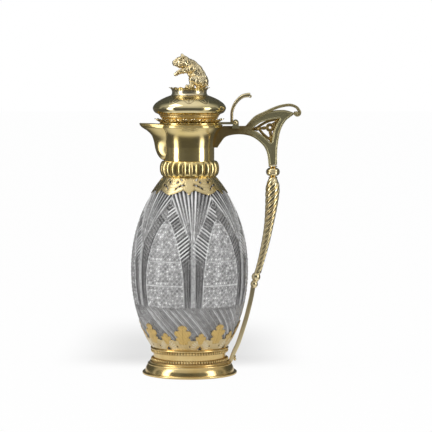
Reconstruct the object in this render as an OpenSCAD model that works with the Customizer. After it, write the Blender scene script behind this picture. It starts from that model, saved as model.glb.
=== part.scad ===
// Claret jug: an oval cut-glass body in silver-gilt mounts, with a hinged lid,
// a beak spout and a tall handle. Sizes are in millimetres.
// The origin is on the ground under the middle of the foot, +Z is up,
// +X points to the handle and -X to the spout.

/* [Foot] */
// Outer radius of the foot's rim
foot_r = 47.5; // [44:0.5:60]
// Width of the foot's rim ring
foot_rim_w = 4.6; // [3.6:0.1:7]
// Height of the foot's rim ring
foot_rim_h = 2.6; // [1.6:0.1:5]
// Height of the domed foot above its rim
dome_h = 10.4; // [8:0.2:20]
// Thickness of the raised sheet metal of foot, collar and lid
sheet = 1.2; // [0.8:0.1:1.8]

/* [Base drum] */
// Step in from the base of the glass to the wall of the drum
drum_step = 1; // [0.5:0.1:1.6]
// Height of the base drum
drum_h = 14; // [12:0.5:22]
// Diameter of a bead in the two beaded wires
bead_d = 2.7; // [1.8:0.1:3.4]
// Number of beads in each beaded wire
bead_count = 84; // [60:4:120]
// Thickness of the plate that closes the drum
base_plate_t = 1.5; // [1:0.1:3]
// Thickness of the plaster bedding under the glass
bedding_t = 3; // [1.5:0.5:5]

/* [Glass] */
// Radius of the glass at its widest
glass_r = 58.7; // [54:0.1:66]
// Height of the widest place above the top of the drum
belly_h = 77; // [60:1:95]
// Height of the glass shoulder above the widest place
shoulder_h = 94; // [80:1:120]
// Radius of the glass where it stands in the drum
glass_base_r = 37.3; // [35:0.1:38.2]
// Radius of the glass at the top of its shoulder
shoulder_r = 25.2; // [24:0.1:28]
// Thickness of the glass wall
glass_wall = 6; // [4:0.5:9]
// Thickness of the glass floor
glass_floor = 9; // [6:0.5:14]
// Outer radius of the glass neck
glass_neck_r = 20; // [17:0.5:21]
// Height of the glass neck above the shoulder
glass_neck_h = 26; // [22:1:32]

/* [Leaf mounts] */
// Thickness of the leaf mounts that hug the glass
leaf_t = 0.9; // [0.6:0.1:1.4]
// Number of large leaves round the base of the glass
base_leaves = 8; // [6:1:10]
// Height of the large base leaves above the drum
base_leaf_h = 27; // [22:0.5:34]
// Height of the small base leaves above the drum
small_leaf_h = 19; // [16:0.5:21]
// Number of large leaves in the shoulder skirt
skirt_leaves = 6; // [5:1:8]
// Drop of the shoulder skirt's leaf tips below the shoulder
skirt_drop = 17.5; // [14:0.5:24]

/* [Neck] */
// Height of the gadrooned ring
gadroon_h = 15.4; // [12:0.2:20]
// Largest radius of the gadrooned ring
gadroon_r = 30; // [29.4:0.1:33]
// Number of lobes on the gadrooned ring
gadroon_count = 24; // [20:2:32]
// Outer radius of the neck collar's straight part
collar_r = 24.8; // [24.4:0.1:26]
// Height of the neck collar
collar_h = 32.9; // [30:0.1:45]
// Outer radius of the neck collar where it meets the rim
collar_rim_r = 32.7; // [31.8:0.1:36]
// Height of the reeded rim
rim_h = 3; // [2.4:0.1:5]
// Reach of the spout's tip from the axis
spout_reach = 50; // [44:0.5:60]

/* [Lid] */
// Gap under the closed lid
lid_gap = 0.2; // [0.1:0.05:0.3]
// Overlap of the lid's flange on the neck's rim
flange_lap = 1.2; // [0.8:0.1:2.4]
// Thickness of the lid's flange
flange_t = 2.3; // [1.6:0.1:3]
// Depth of the bezel inside the neck
bezel_h = 5; // [3:0.5:7]
// Clearance round the bezel
bezel_gap = 0.6; // [0.45:0.05:1]
// Overhang of the splayed leaf border beyond the neck's collar
border_over = 2.6; // [1.3:0.1:3.8]
// Height of the splayed leaf border
border_h = 4; // [3:0.1:5.4]
// Number of leaves in the splayed border
border_count = 24; // [16:2:30]
// Height of the lid's waist
waist_h = 8; // [6:0.5:12]
// Largest radius of the lid's bun
bun_r = 36.5; // [34:0.5:38]
// Height of the lid's bun
bun_h = 18.9; // [15:0.1:26]
// Radius of the coronet's waist
coronet_r = 17.4; // [15:0.1:20]
// Height of the coronet
coronet_h = 7.8; // [6:0.2:12]
// Number of petals on the coronet
coronet_count = 20; // [14:2:26]
// Height of the bear
bear_h = 35.3; // [28:0.1:45]

/* [Hinge] */
// Distance of the hinge axis from the neck's rim
hinge_reach = 13.4; // [12.6:0.1:16]
// Outer radius of the hinge knuckles
knuckle_r = 3; // [2.6:0.1:3.6]
// Length of the lid's middle knuckle
knuckle_w = 6; // [5:0.5:7]
// Length of each outer knuckle
lug_w = 3.8; // [3:0.1:5]
// Gap between neighbouring knuckles
knuckle_gap = 0.3; // [0.2:0.05:0.5]
// Radius of the hinge pin
pin_r = 1.2; // [0.9:0.1:1.6]
// Running clearance round the hinge pin
pin_gap = 0.05; // [0.03:0.01:0.1]
// Height of the thumbpiece above the hinge axis
thumb_h = 28; // [22:0.5:34]
// Thickness of the thumbpiece at its root
thumb_t = 2.8; // [2:0.1:3.6]
// Width of the thumbpiece
thumb_w = 5.6; // [4:0.2:5.8]

/* [Handle] */
// Distance of the handle's shaft from the belly of the glass
shaft_reach = 24.6; // [20:0.2:34]
// Thickness of the bracket across the jug
bracket_t = 7; // [5:0.2:10]
// Width of the shaft under the bracket
shaft_w = 8.4; // [7:0.1:11]
// Drop of the shaft's lower end below the rim
shaft_drop = 40.9; // [37:0.1:48]
// Width of the ribbon on the bracket
ribbon_w = 10; // [8:0.2:14]
// Thickness of the ribbon
ribbon_t = 2.8; // [2:0.1:3.6]
// Radius of the knop under the bracket
knop_r = 7.06; // [5.5:0.02:9]
// Height of the knop with its two collars
knop_h = 12.4; // [9:0.2:16]
// Length of the twisted grip
grip_h = 95; // [80:1:110]
// Largest radius of the twisted grip
grip_r = 7.2; // [5.6:0.1:9]
// Number of strands in the twisted grip
grip_strands = 5; // [3:1:7]
// Height of one full turn of a strand
grip_pitch = 29; // [20:1:60]
// Radius of the upper bead under the grip
upper_bead_r = 4.5; // [3.8:0.1:6]
// Radius of the lower bead under the grip
lower_bead_r = 3.8; // [3.2:0.1:5]
// Side of the square rod
rod_t = 4.2; // [3.5:0.1:6]
// Gap between the rod and the glass
rod_gap = 3.2; // [1.5:0.1:5]
// Radius of the small scroll at the rod's foot
scroll_r = 2.4; // [1.8:0.1:3.2]

/* [Hidden] */

round_fn = 64;
gilt = [0.80, 0.68, 0.38];
warm_gilt = [0.83, 0.64, 0.30];
pale_gilt = [0.86, 0.78, 0.52];
plaster = [0.88, 0.86, 0.80];
glass_tint = [0.80, 0.82, 0.86, 0.45];

// Hairline left between the glass and a mount that hugs it
hug_gap = 0.1;
// Slack for cuts that run out past a surface
slack = 1;
// Exponents of the oval: above and below the belly the radius is glass_r * (1 - t^a)^b
upper_a = 2.11;
upper_b = 0.763;
lower_a = 2.07;
lower_b = 0.608;

// Heights, stacked from the ground up
dome_z = foot_rim_h;
drum_z = dome_z + dome_h;
drum_top = drum_z + drum_h;
bedding_top = drum_top - 2.8;
plate_top = bedding_top - bedding_t;
belly_z = drum_top + belly_h;
shoulder_z = belly_z + shoulder_h;
gadroon_top = shoulder_z + gadroon_h;
glass_top = shoulder_z + glass_neck_h;
rim_z = gadroon_top + collar_h;
rim_top = rim_z + rim_h;
lid_z = rim_top + lid_gap;
flange_top = lid_z + flange_t;
bun_z = flange_top + waist_h;
bun_top = bun_z + bun_h;
plinth_top = bun_top + coronet_h - 0.7;

// Radii and reaches
drum_r = glass_base_r - drum_step;
dome_top_r = drum_r + 2.5;
dome_base_r = foot_r - 2.8;
bezel_r = collar_rim_r - 4.7;
lining_r = bezel_r - 4;
seat_r = bezel_r + bezel_gap;
flange_r = seat_r + flange_lap;
border_r = collar_rim_r + border_over;
rim_reach = collar_rim_r - 0.3 + 0.27 * rim_h;
waist_r = bezel_r - 1.2;
hinge_x = collar_rim_r + hinge_reach;
hinge_z = rim_top + 2.1;
arm_top = hinge_z - knuckle_r - 0.4;
hinge_w = knuckle_w + 2 * knuckle_gap + 2 * lug_w;
shaft_x = glass_r + shaft_reach;
shaft_z = rim_top - shaft_drop;
grip_z = shaft_z - knop_h;
grip_foot = grip_z - grip_h;
beads_top = grip_foot;
lower_bead_z = beads_top - 2 * upper_bead_r + 1;
rod_top = lower_bead_z - 2 * lower_bead_r + 1;
rod_off = rod_gap + rod_t / 2;

// How far up the oval's own scale its shoulder and its base lie
upper_reach = shoulder_h / pow(1 - pow(shoulder_r / glass_r, 1 / upper_b), 1 / upper_a);
lower_reach = belly_h / pow(1 - pow(glass_base_r / glass_r, 1 / lower_b), 1 / lower_a);

// Radius of the glass at a height between the drum's top and the shoulder
function glass_at(z) = z >= belly_z
    ? glass_r * pow(1 - pow((z - belly_z) / upper_reach, upper_a), upper_b)
    : glass_r * pow(1 - pow((belly_z - z) / lower_reach, lower_a), lower_b);

// A smooth curve through points: n straight steps for each stretch between two of them
function bend(a, b, c, d, t) = 0.5 * (2 * b + (c - a) * t + (2 * a - 5 * b + 4 * c - d) * t * t
    + (3 * b - a - 3 * c + d) * t * t * t);
function curve(p, n = 4) = let (last = len(p) - 1)
    concat([for (i = [0 : last - 1]) for (k = [0 : n - 1])
        bend(p[max(i - 1, 0)], p[i], p[i + 1], p[min(i + 2, last)], k / n)], [p[last]]);
function reversed(p) = [for (i = [len(p) - 1 : -1 : 0]) p[i]];
function part_of(a, b, t) = a + (b - a) * t;

// Unit normal of a curve of points at point i, to the left of its direction
function normal_at(p, i) = let (d = p[min(i + 1, len(p) - 1)] - p[max(i - 1, 0)])
    [-d[1], d[0]] / norm(d);

// Outline of a band that follows points p, with half width w[i] at point i
function band(p, w) = concat([for (i = [0 : len(p) - 1]) p[i] + w[i] * normal_at(p, i)],
    reversed([for (i = [0 : len(p) - 1]) p[i] - w[i] * normal_at(p, i)]));

// A prism with its outline in the plane of a radius at angle a, cut outwards from the axis
module radial_cut(a, reach) {
    rotate([0, 0, a]) rotate([90, 0, 90]) linear_extrude(height = reach) children();
}

// A plate in the plane of the handle, t thick across the jug
module plate(t) {
    translate([0, t / 2, 0]) rotate([90, 0, 0]) linear_extrude(height = t) children();
}

// ---------------------------------------------------------------- foot and base

module foot_rim() {
    color(warm_gilt) rotate_extrude($fn = round_fn)
        polygon([[foot_r - foot_rim_w, 0], [foot_r - 0.6, 0], [foot_r, 0.7],
            [foot_r, foot_rim_h - 0.7], [foot_r - 0.8, foot_rim_h],
            [foot_r - foot_rim_w, foot_rim_h]]);
}

// Outline of the domed foot from its rim up to the drum
dome_curve = curve([[dome_base_r, dome_z], [dome_base_r - 0.9, dome_z + 0.38 * dome_h],
    [part_of(dome_base_r, dome_top_r, 0.52), dome_z + 0.74 * dome_h],
    [dome_top_r, drum_z]], 3);

// The two reeds round the dome's shoulder
module dome_reeds() {
    for (drop = [0.7, 2.4]) let (z = drum_z - drop)
        translate([lookup(z, [for (p = dome_curve) [p[1], p[0]]]) - 0.3, z])
            circle(r = 0.8, $fn = 24);
}

module foot_dome() {
    color(warm_gilt) rotate_extrude($fn = round_fn) {
        polygon(concat(dome_curve, [[drum_r - sheet, drum_z], [drum_r - sheet, drum_z - sheet]],
            reversed([for (i = [0 : len(dome_curve) - 1]) let (p = dome_curve[i])
                [p[0] - sheet, p[1] - sheet * (p[1] - dome_z) / dome_h]])));
        dome_reeds();
    }
}

// The dome and its reeds as one filled shape, which the rod is cut to fit
module dome_solid() {
    rotate_extrude($fn = round_fn) {
        polygon(concat([[0, drum_z], [0, dome_z]], dome_curve));
        dome_reeds();
    }
}

module base_drum() {
    lip = 2.7;
    color(warm_gilt) rotate_extrude($fn = round_fn)
        polygon([[drum_r - sheet, drum_z], [drum_r, drum_z], [drum_r, drum_top - 1.9],
            [drum_r + lip, drum_top - 1.7], [drum_r + lip + 0.3, drum_top - 0.9],
            [drum_r + lip, drum_top], [glass_base_r + hug_gap, drum_top],
            [drum_r - sheet, bedding_top]]);
}

// A wire of beads round the drum
module bead_wire(z) {
    step = 360 / bead_count;
    translate([0, 0, z]) {
        rotate_extrude($fn = round_fn)
            translate([drum_r, -0.3 * bead_d]) square([0.6 * bead_d, 0.6 * bead_d]);
        for (i = [0 : bead_count - 1]) rotate([0, 0, (i + 0.5) * step])
            translate([drum_r + bead_d / 2, 0, 0]) sphere(d = bead_d, $fn = 16);
    }
}

module bead_wire_lower() {
    color(pale_gilt) bead_wire(drum_z + bead_d / 2 + 0.6);
}

module bead_wire_upper() {
    color(pale_gilt) bead_wire(drum_top - 1.9 - bead_d / 2 - 0.2);
}

module base_plate() {
    color(gilt) translate([0, 0, plate_top - base_plate_t])
        cylinder(r = drum_r - sheet, h = base_plate_t, $fn = round_fn);
}

module base_bedding() {
    color(plaster) translate([0, 0, plate_top])
        cylinder(r = drum_r - sheet, h = bedding_t, $fn = round_fn);
}

// ---------------------------------------------------------------- glass

module glass_body() {
    outer = concat([[drum_r - sheet - 1.8, bedding_top], [glass_base_r, drum_top]],
        [for (i = [1 : 9]) let (z = part_of(drum_top, belly_z, i / 9)) [glass_at(z), z]],
        [for (i = [1 : 12]) let (z = part_of(belly_z, shoulder_z, i / 12)) [glass_at(z), z]]);
    floor_z = bedding_top + glass_floor;
    top_z = shoulder_z - 4;
    inner = concat([[0, floor_z], [glass_at(floor_z) - glass_wall - 8, floor_z]],
        [for (i = [1 : 7]) let (z = part_of(floor_z + 3, belly_z, i / 7))
            [glass_at(z) - glass_wall, z]],
        [for (i = [1 : 9]) let (z = part_of(belly_z, top_z, i / 9))
            [glass_at(z) - glass_wall, z]],
        [[glass_neck_r - 4.5, shoulder_z + 4], [glass_neck_r - 4.5, glass_top]]);
    color(glass_tint) rotate_extrude($fn = round_fn)
        polygon(concat([[0, bedding_top]], outer,
            [[glass_neck_r, shoulder_z + 6], [glass_neck_r, glass_top]], reversed(inner)));
}

// A ring of leaves that hugs the glass: count leaves, root line at root_z, tips reach away from it
// (down if negative). edge gives the reach's share at an angle's share of one leaf's width.
module leaf_shell(count, per_leaf, rows, root_z, reach, edge, turn) {
    around = per_leaf * count;
    function spot(k, row, lift) = let (share = k / per_leaf - floor(k / per_leaf),
        z = root_z + reach * lookup(min(share, 1 - share), edge) * row / rows,
        r = glass_at(z) + hug_gap + lift, a = turn + 360 * k / around)
        [r * cos(a), r * sin(a), z];
    spots = concat([for (row = [0 : rows]) for (k = [0 : around - 1]) spot(k, row, leaf_t)],
        [for (row = [rows : -1 : 0]) for (k = [0 : around - 1]) spot(k, row, 0)]);
    loops = 2 * rows + 2;
    polyhedron(points = spots, faces = [for (i = [0 : loops - 1]) for (k = [0 : around - 1]) let (
        a = i * around + k, b = i * around + (k + 1) % around,
        c = ((i + 1) % loops) * around + k, d = ((i + 1) % loops) * around + (k + 1) % around)
        each reach < 0 ? [[a, b, d], [a, d, c]] : [[a, d, b], [a, c, d]]]);
}

// Large and small leaves by turns, on a solid band round the foot of the glass
module base_leaf_mount() {
    color(pale_gilt) leaf_shell(base_leaves, 16, 4, drum_top, base_leaf_h, [[0, 1], [0.0625, 0.93],
        [0.125, 0.8], [0.1875, 0.64], [0.25, 0.5], [0.375, 0.5],
        [0.4375, 0.86 * small_leaf_h / base_leaf_h], [0.5, small_leaf_h / base_leaf_h]], -97.5);
}

// Pointed tongues alternate with broad leaves along the skirt's lower edge
module shoulder_skirt() {
    color(pale_gilt) leaf_shell(skirt_leaves, 18, 5, shoulder_z, -skirt_drop, [[0, 1], [0.05, 0.88],
        [0.11, 0.78], [0.165, 0.71], [0.24, 0.8], [0.34, 0.88], [0.42, 0.95], [0.5, 1.02]], -90);
}

// ---------------------------------------------------------------- neck

// A ring whose swelling side is parted into upright lobes by sharp grooves
module gadroon_ring() {
    end_r = gadroon_r - 3.8;
    bore_r = collar_r - sheet - 1;
    per_lobe = 6;
    around = per_lobe * gadroon_count;
    swell_rows = 8;
    // Radius and height of each row, and how deep the grooves cut there
    rows = concat([[bore_r, shoulder_z + 5, 0], [shoulder_r + hug_gap, shoulder_z, 0]],
        [for (i = [0 : swell_rows]) let (t = -1 + 2 * i / swell_rows, swell = sqrt(1 - t * t))
            [end_r, shoulder_z + gadroon_h / 2 * (1 + t), swell]],
        [[bore_r, gadroon_top, 0]]);
    spots = [for (row = rows) for (k = [0 : around - 1])
        let (a = 360 * k / around, lobe = pow(abs(sin(gadroon_count / 2 * a)), 0.7),
            r = row[0] + (gadroon_r - end_r) * row[2] * (0.3 + 0.7 * lobe))
        [r * cos(a), r * sin(a), row[1]]];
    count = len(rows);
    color(gilt) polyhedron(points = spots,
        faces = [for (i = [0 : count - 1]) for (k = [0 : around - 1]) let (
            a = i * around + k, b = i * around + (k + 1) % around,
            c = ((i + 1) % count) * around + k, d = ((i + 1) % count) * around + (k + 1) % around)
            each [[a, d, b], [a, c, d]]]);
}

module neck_cement() {
    core = collar_r - sheet;
    color(plaster) rotate_extrude($fn = round_fn)
        polygon([[glass_neck_r, shoulder_z + 6.5], [core - 1, shoulder_z + 6.5],
            [core - 1, gadroon_top], [core, gadroon_top], [core, glass_top],
            [glass_neck_r, glass_top]]);
}

// Outline of the collar, from straight to flared
flare = collar_rim_r - collar_r;
collar_curve = concat([[collar_r, gadroon_top]],
    curve([[collar_r, rim_z - 19.4], [collar_r + 0.17 * flare, rim_z - 11.4],
        [collar_r + 0.47 * flare, rim_z - 5.4], [collar_rim_r, rim_z]], 3));

// Nine places from the spout's foot to its tip: half width as a share of the lip's, reach of the
// nose as a share of the way out to the tip, and height as a share of the collar's and rim's
spout_half = 0.648 * collar_rim_r;
spout_lines = [for (p = curve([[0.038, 0, 0.008], [0.26, 0.137, 0.053], [0.387, 0.266, 0.167],
    [0.425, 0.359, 0.334], [0.51, 0.415, 0.535], [0.689, 0.504, 0.702], [0.873, 0.673, 0.825],
    [0.981, 0.903, 0.93], [1, 1, 1.028]], 2))
    [spout_half * p[0], part_of(collar_r + 0.4, spout_reach, p[1]),
        gadroon_top + (collar_h + rim_h) * p[2]]];

// The collar and rim as one filled shape, which pieces outside them are cut to fit
module neck_solid() {
    rotate_extrude($fn = round_fn)
        polygon(concat([[0, gadroon_top]], collar_curve, [[rim_reach + hug_gap, rim_z],
            [rim_reach + hug_gap, rim_top + slack], [0, rim_top + slack]]));
}

module neck_collar() {
    color(pale_gilt) difference() {
        rotate_extrude($fn = round_fn)
            polygon(concat(collar_curve, reversed([for (p = collar_curve) [p[0] - sheet, p[1]]])));
        radial_cut(180, collar_rim_r + slack)
            polygon([for (p = [[-0.24, glass_top + 3], [0.24, glass_top + 3], [0.48, rim_z - 7],
                [0.69, rim_z + slack], [-0.69, rim_z + slack], [-0.48, rim_z - 7]])
                [p[0] * collar_r, p[1]]]);
    }
}

// Beak spout: each level is a rounded V whose two ends lie in the collar's wall
module spout() {
    across = 8;
    levels = len(spout_lines) - 1;
    function wall_r(z) = lookup(z, [for (p = collar_curve) [p[1], p[0]]]) - 0.6;
    function spot(level, side, inset) = let (
        line = spout_lines[level],
        nose_z = line[2],
        z = nose_z - 1.3 * level / levels,
        half = max(line[0] - inset, 0.1 + 0.1 * (1.1 - inset)),
        wall = sqrt(pow(wall_r(z), 2) - half * half),
        u = abs(side / across),
        nose = 1 - pow(u, part_of(2.3, 1.55, level / levels)))
        [-wall - (line[1] - inset - wall) * nose, half * side / across,
            z + (nose_z - z) * nose];
    columns = 2 * across + 1;
    rows = levels + 1;
    points = concat([for (level = [0 : levels]) for (side = [-across : across])
        spot(level, side, 0)], [for (level = [0 : levels]) for (side = [-across : across])
        spot(level, side, 1.1)]);
    inner = rows * columns;
    faces = concat(
        [for (l = [0 : levels - 1]) for (s = [0 : columns - 2]) let (a = l * columns + s)
            each [[a, a + 1, a + columns + 1], [a, a + columns + 1, a + columns]]],
        [for (l = [0 : levels - 1]) for (s = [0 : columns - 2]) let (a = inner + l * columns + s)
            each [[a, a + columns + 1, a + 1], [a, a + columns, a + columns + 1]]],
        [for (l = [0 : levels - 1]) for (s = [0, columns - 1]) let (a = l * columns + s,
            b = a + columns, c = a + inner, d = b + inner)
            each s == 0 ? [[a, b, d], [a, d, c]] : [[a, d, b], [a, c, d]]],
        [for (s = [0 : columns - 2]) for (l = [0, levels]) let (a = l * columns + s, b = a + 1,
            c = a + inner, d = b + inner)
            each l == 0 ? [[a, d, b], [a, c, d]] : [[a, b, d], [a, d, c]]]);
    color(pale_gilt) difference() {
        polyhedron(points = points, faces = faces);
        neck_solid();
    }
}

module neck_rim() {
    reed_r = 0.27 * rim_h;
    color(gilt) rotate_extrude($fn = round_fn) {
        translate([seat_r, rim_z]) square([collar_rim_r - 0.3 - seat_r, rim_h]);
        for (z = [rim_z + reed_r, rim_top - reed_r])
            translate([collar_rim_r - 0.3, z]) circle(r = reed_r, $fn = 24);
    }
}

// ---------------------------------------------------------------- handle

// Places on the bracket, measured from the neck's rim and from the shaft's axis. They spread with
// the bracket's span and with its drop.
span_share = (shaft_x - collar_rim_r) / 50.6;
drop_share = shaft_drop / 40.9;
function near(x, z) = [collar_rim_r + x * span_share, arm_top + z * drop_share];
function far(x, z) = [shaft_x + x * span_share, arm_top + z * drop_share];

arch_line = curve([[shaft_x - shaft_w / 2, shaft_z], far(-6.1, -26.6), far(-11.3, -17.8),
    far(-21.5, -10.5), near(16.6, -8.3), near(4.1, -10.5), near(-1.8, -17),
    near(-4.7, -21.5)], 4);
crest_line = curve([near(23, 0), far(-17.8, 7.7), far(-10.3, 12), far(-1.5, 14.9), far(6.7, 15.9),
    far(13.7, 15.5), far(21.5, 12.9)], 4);
back_line = curve([far(20, 10.9), far(12.8, 5.3), far(7.7, -3.9), far(5.3, -15.1),
    [shaft_x + shaft_w / 2, arm_top - 26 * drop_share], [shaft_x + shaft_w / 2, shaft_z]], 4);

module bracket_outline() {
    polygon(concat([near(-12, -21.5), near(-12, 0)], crest_line, back_line, arch_line));
}

module opening_outline() {
    polygon(concat(curve([far(-21.4, -3.4), far(-12.7, 3.2), far(-2.5, 6.3), far(7.2, 7.8)], 4),
        curve([far(7, 7.4), far(2.8, 0.2), far(0.3, -7.5), far(-1.5, -17)], 4),
        curve([far(-1.9, -17), far(-7.6, -11.6), far(-14.7, -6.4), far(-21, -3.6)], 4)));
}

module handle_bracket() {
    color(gilt) difference() {
        plate(bracket_t) difference() {
            bracket_outline();
            opening_outline();
        }
        neck_solid();
    }
}

// Scrolled openwork that fills the bracket's opening: a ring and three leafy arms
module handle_tracery() {
    ring = far(-3, -1.6);
    ring_r = 3.8 * drop_share;
    ends = [far(-23, -3.6), far(8.5, 9.5), far(-1.7, -19)];
    leaf = drop_share * [1.5, 1.1, 1.9, 2.6, 1.5, 0.9, 1.5, 1.2, 0.6, 0.4];
    depth = bracket_t * 0.5;
    color(warm_gilt) difference() {
        intersection() {
            plate(depth) opening_outline();
            union() {
                plate(depth) translate(ring) circle(r = ring_r, $fn = 32);
                for (end = ends) let (d = (end - ring) / norm(end - ring))
                    plate(depth) polygon(band([for (i = [0 : 9])
                        part_of(ring + d * 0.82 * ring_r, end, i / 9)], leaf));
            }
        }
        plate(depth + slack) translate(ring) circle(r = 0.47 * ring_r, $fn = 32);
    }
}

ribbon_line = curve([near(25, 1), far(-17.4, 8.4), far(-7.6, 13.4), far(-1, 16.5),
    far(7.7, 19.6), far(16.9, 20.8), far(24, 18.6), far(27.2, 14.6)], 4);

module handle_ribbon() {
    last = len(ribbon_line) - 1;
    curl = far(24.9, 12.4);
    color(gilt) {
        plate(ribbon_w) difference() {
            union() {
                polygon(band(ribbon_line, [for (i = [0 : last])
                    ribbon_t / 2 * min(1, 0.35 + 0.65 * i / 8)]));
                translate(curl) circle(r = 1.07 * ribbon_t, $fn = 32);
            }
            bracket_outline();
        }
        translate([curl[0], 0.58 * ribbon_w, curl[1]]) rotate([90, 0, 0])
            cylinder(r = 0.61 * ribbon_t, h = 1.16 * ribbon_w, $fn = 32);
    }
}

module handle_knop() {
    neck = knop_r * 0.52;
    half = knop_h / 2;
    swell = half - 1.2;
    color(gilt) translate([shaft_x, 0, shaft_z - half]) rotate_extrude($fn = 48)
        polygon(concat([[0, -half], [neck, -half], [neck, -swell]],
            [for (i = [-5 : -1]) let (t = i / 6) [knop_r * sqrt(1 - t * t), swell * t]],
            [[knop_r, -0.5], [knop_r - 0.4, -0.3], [knop_r - 0.4, 0.3], [knop_r, 0.5]],
            [for (i = [1 : 5]) let (t = i / 6) [knop_r * sqrt(1 - t * t), swell * t]],
            [[neck, swell], [neck, half], [0, half]]));
}

// Where the grip ends, over the lower part of the handle
grip_end_x = glass_at(grip_foot) + rod_off + 4.3;
// The grip's axis at share t of its length, from its top down
function grip_x(t) = shaft_x - (shaft_x - grip_end_x) * pow(t, 1.9);
// The grip's radius at share t of its length, as a share of its largest radius
function grip_swell(t) = lookup(t, [[0, 0.56], [0.03, 0.74], [0.07, 0.92], [0.13, 1], [0.21, 0.95],
    [0.33, 0.83], [0.43, 0.73], [0.53, 0.65], [0.64, 0.6], [0.78, 0.54], [0.9, 0.49], [1, 0.48]]);

// Twisted grip: strands wind round a bent, tapering axis
module handle_grip() {
    around = 6 * grip_strands;
    rings = 56;
    spots = [for (i = [0 : rings]) let (t = i / rings, z = grip_z - grip_h * t,
        r = grip_r * grip_swell(t)) for (k = [0 : around - 1])
        let (a = 360 * k / around, twist = 360 * (z - grip_z) / grip_pitch,
            rr = r * (0.9 + 0.1 * cos(grip_strands * (a - twist))))
        [grip_x(t) + rr * cos(a), rr * sin(a), z]];
    sides = [for (i = [0 : rings - 1]) for (k = [0 : around - 1]) let (
        a = i * around + k, b = i * around + (k + 1) % around)
        each [[a, b, b + around], [a, b + around, a + around]]];
    color(pale_gilt) polyhedron(points = spots, faces = concat(sides,
        [[for (k = [around - 1 : -1 : 0]) k], [for (k = [0 : around - 1]) rings * around + k]]));
}

// Two beads under the grip, one on the other
module grip_beads() {
    upper_x = grip_end_x - 1.7;
    lower_x = grip_end_x - 3.5;
    color(pale_gilt) difference() {
        union() {
            translate([upper_x, 0, beads_top - upper_bead_r + 0.4])
                sphere(r = upper_bead_r, $fn = 40);
            translate([lower_x, 0, lower_bead_z - lower_bead_r + 0.4])
                sphere(r = lower_bead_r, $fn = 40);
        }
        translate([grip_end_x - 8, -8, beads_top]) cube([16, 16, 4]);
        translate([grip_end_x - 12, -8, rod_top - 4]) cube([20, 16, 4]);
    }
}

// The rod's centre line runs down beside the glass and turns in to the domed foot
function beside_glass(share, more) = let (z = part_of(rod_top, drum_top, share))
    [glass_at(z) + rod_off + more, z];
rod_line = curve([beside_glass(0, 0.5), beside_glass(0.15, 0.2), beside_glass(0.33, 0),
    beside_glass(0.52, 0.4), beside_glass(0.74, 1.7), [drum_r + 12.4, drum_top + 3],
    [drum_r + 8.8, drum_z + 9.2], [drum_r + 5.9, drum_z + 2], [drum_r + 4.3, drum_z - 2.6]], 3);

module rod_outline() {
    last = len(rod_line) - 1;
    polygon(band(rod_line, [for (i = [0 : last]) rod_t / 2 * (1.08 - 0.08 * i / last)]));
}

module handle_rod() {
    color(gilt) difference() {
        plate(rod_t) difference() {
            rod_outline();
            translate([grip_end_x - 16, rod_top]) square([30, 5]);
        }
        dome_solid();
    }
}

// Small scroll on the outer side of the rod's foot
module rod_scroll() {
    color(gilt) plate(rod_t + 0.8) difference() {
        translate([drum_r + 8.4, drum_z + 3.4]) circle(r = scroll_r, $fn = 32);
        rod_outline();
    }
}

// ---------------------------------------------------------------- hinge

module hinge_lugs() {
    saddle_h = 2.4;
    color(gilt) difference() {
        union() {
            for (side = [-1, 1]) translate([hinge_x, side * (hinge_w - lug_w) / 2, hinge_z]) {
                rotate([90, 0, 0]) cylinder(r = knuckle_r, h = lug_w, center = true, $fn = 40);
                translate([-knuckle_r, -lug_w / 2, arm_top - hinge_z])
                    cube([2 * knuckle_r, lug_w, hinge_z - arm_top]);
            }
            for (side = [-1, 1]) translate([hinge_x - knuckle_r - 0.6,
                side * (hinge_w + bracket_t) / 4 - (hinge_w - bracket_t) / 4, arm_top - saddle_h])
                cube([2 * knuckle_r + 1.2, (hinge_w - bracket_t) / 2, saddle_h]);
        }
        translate([hinge_x, 0, hinge_z]) rotate([90, 0, 0])
            cylinder(r = pin_r + pin_gap, h = hinge_w + slack, center = true, $fn = 40);
    }
}

module hinge_pin() {
    head_t = 0.8;
    color(pale_gilt) translate([hinge_x, 0, hinge_z]) rotate([90, 0, 0]) {
        cylinder(r = pin_r, h = hinge_w + 2 * head_t, center = true, $fn = 40);
        for (side = [-1, 1]) translate([0, 0, side * (hinge_w + head_t) / 2])
            cylinder(r = pin_r + 0.6, h = head_t, center = true, $fn = 40);
    }
}

// ---------------------------------------------------------------- lid

module lid_bezel() {
    color(gilt) translate([0, 0, lid_z - bezel_h]) difference() {
        cylinder(r = bezel_r, h = bezel_h, $fn = round_fn);
        translate([0, 0, -slack]) cylinder(r = bezel_r - sheet, h = bezel_h + 2 * slack,
            $fn = round_fn);
    }
}

module lid_lining() {
    color(gilt) translate([0, 0, lid_z]) cylinder(r = lining_r, h = sheet, $fn = round_fn);
}

module lid_flange() {
    color(gilt) rotate_extrude($fn = round_fn)
        polygon([[lining_r, lid_z], [flange_r - 0.4, lid_z], [flange_r, lid_z + 0.5],
            [flange_r, flange_top - 0.6], [flange_r - 0.6, flange_top], [lining_r, flange_top]]);
}

// Strap from the flange to the middle knuckle of the hinge
module lid_strap() {
    color(gilt) difference() {
        union() {
            translate([flange_r - 3, -knuckle_w / 2, lid_z + 0.1])
                cube([hinge_x - flange_r + 3, knuckle_w, flange_t]);
            translate([hinge_x, 0, hinge_z]) rotate([90, 0, 0])
                cylinder(r = knuckle_r, h = knuckle_w, center = true, $fn = 40);
        }
        cylinder(r = flange_r, h = lid_z + flange_t + slack, $fn = round_fn);
        translate([hinge_x, 0, hinge_z]) rotate([90, 0, 0])
            cylinder(r = pin_r + pin_gap, h = knuckle_w + slack, center = true, $fn = 40);
    }
}

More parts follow.
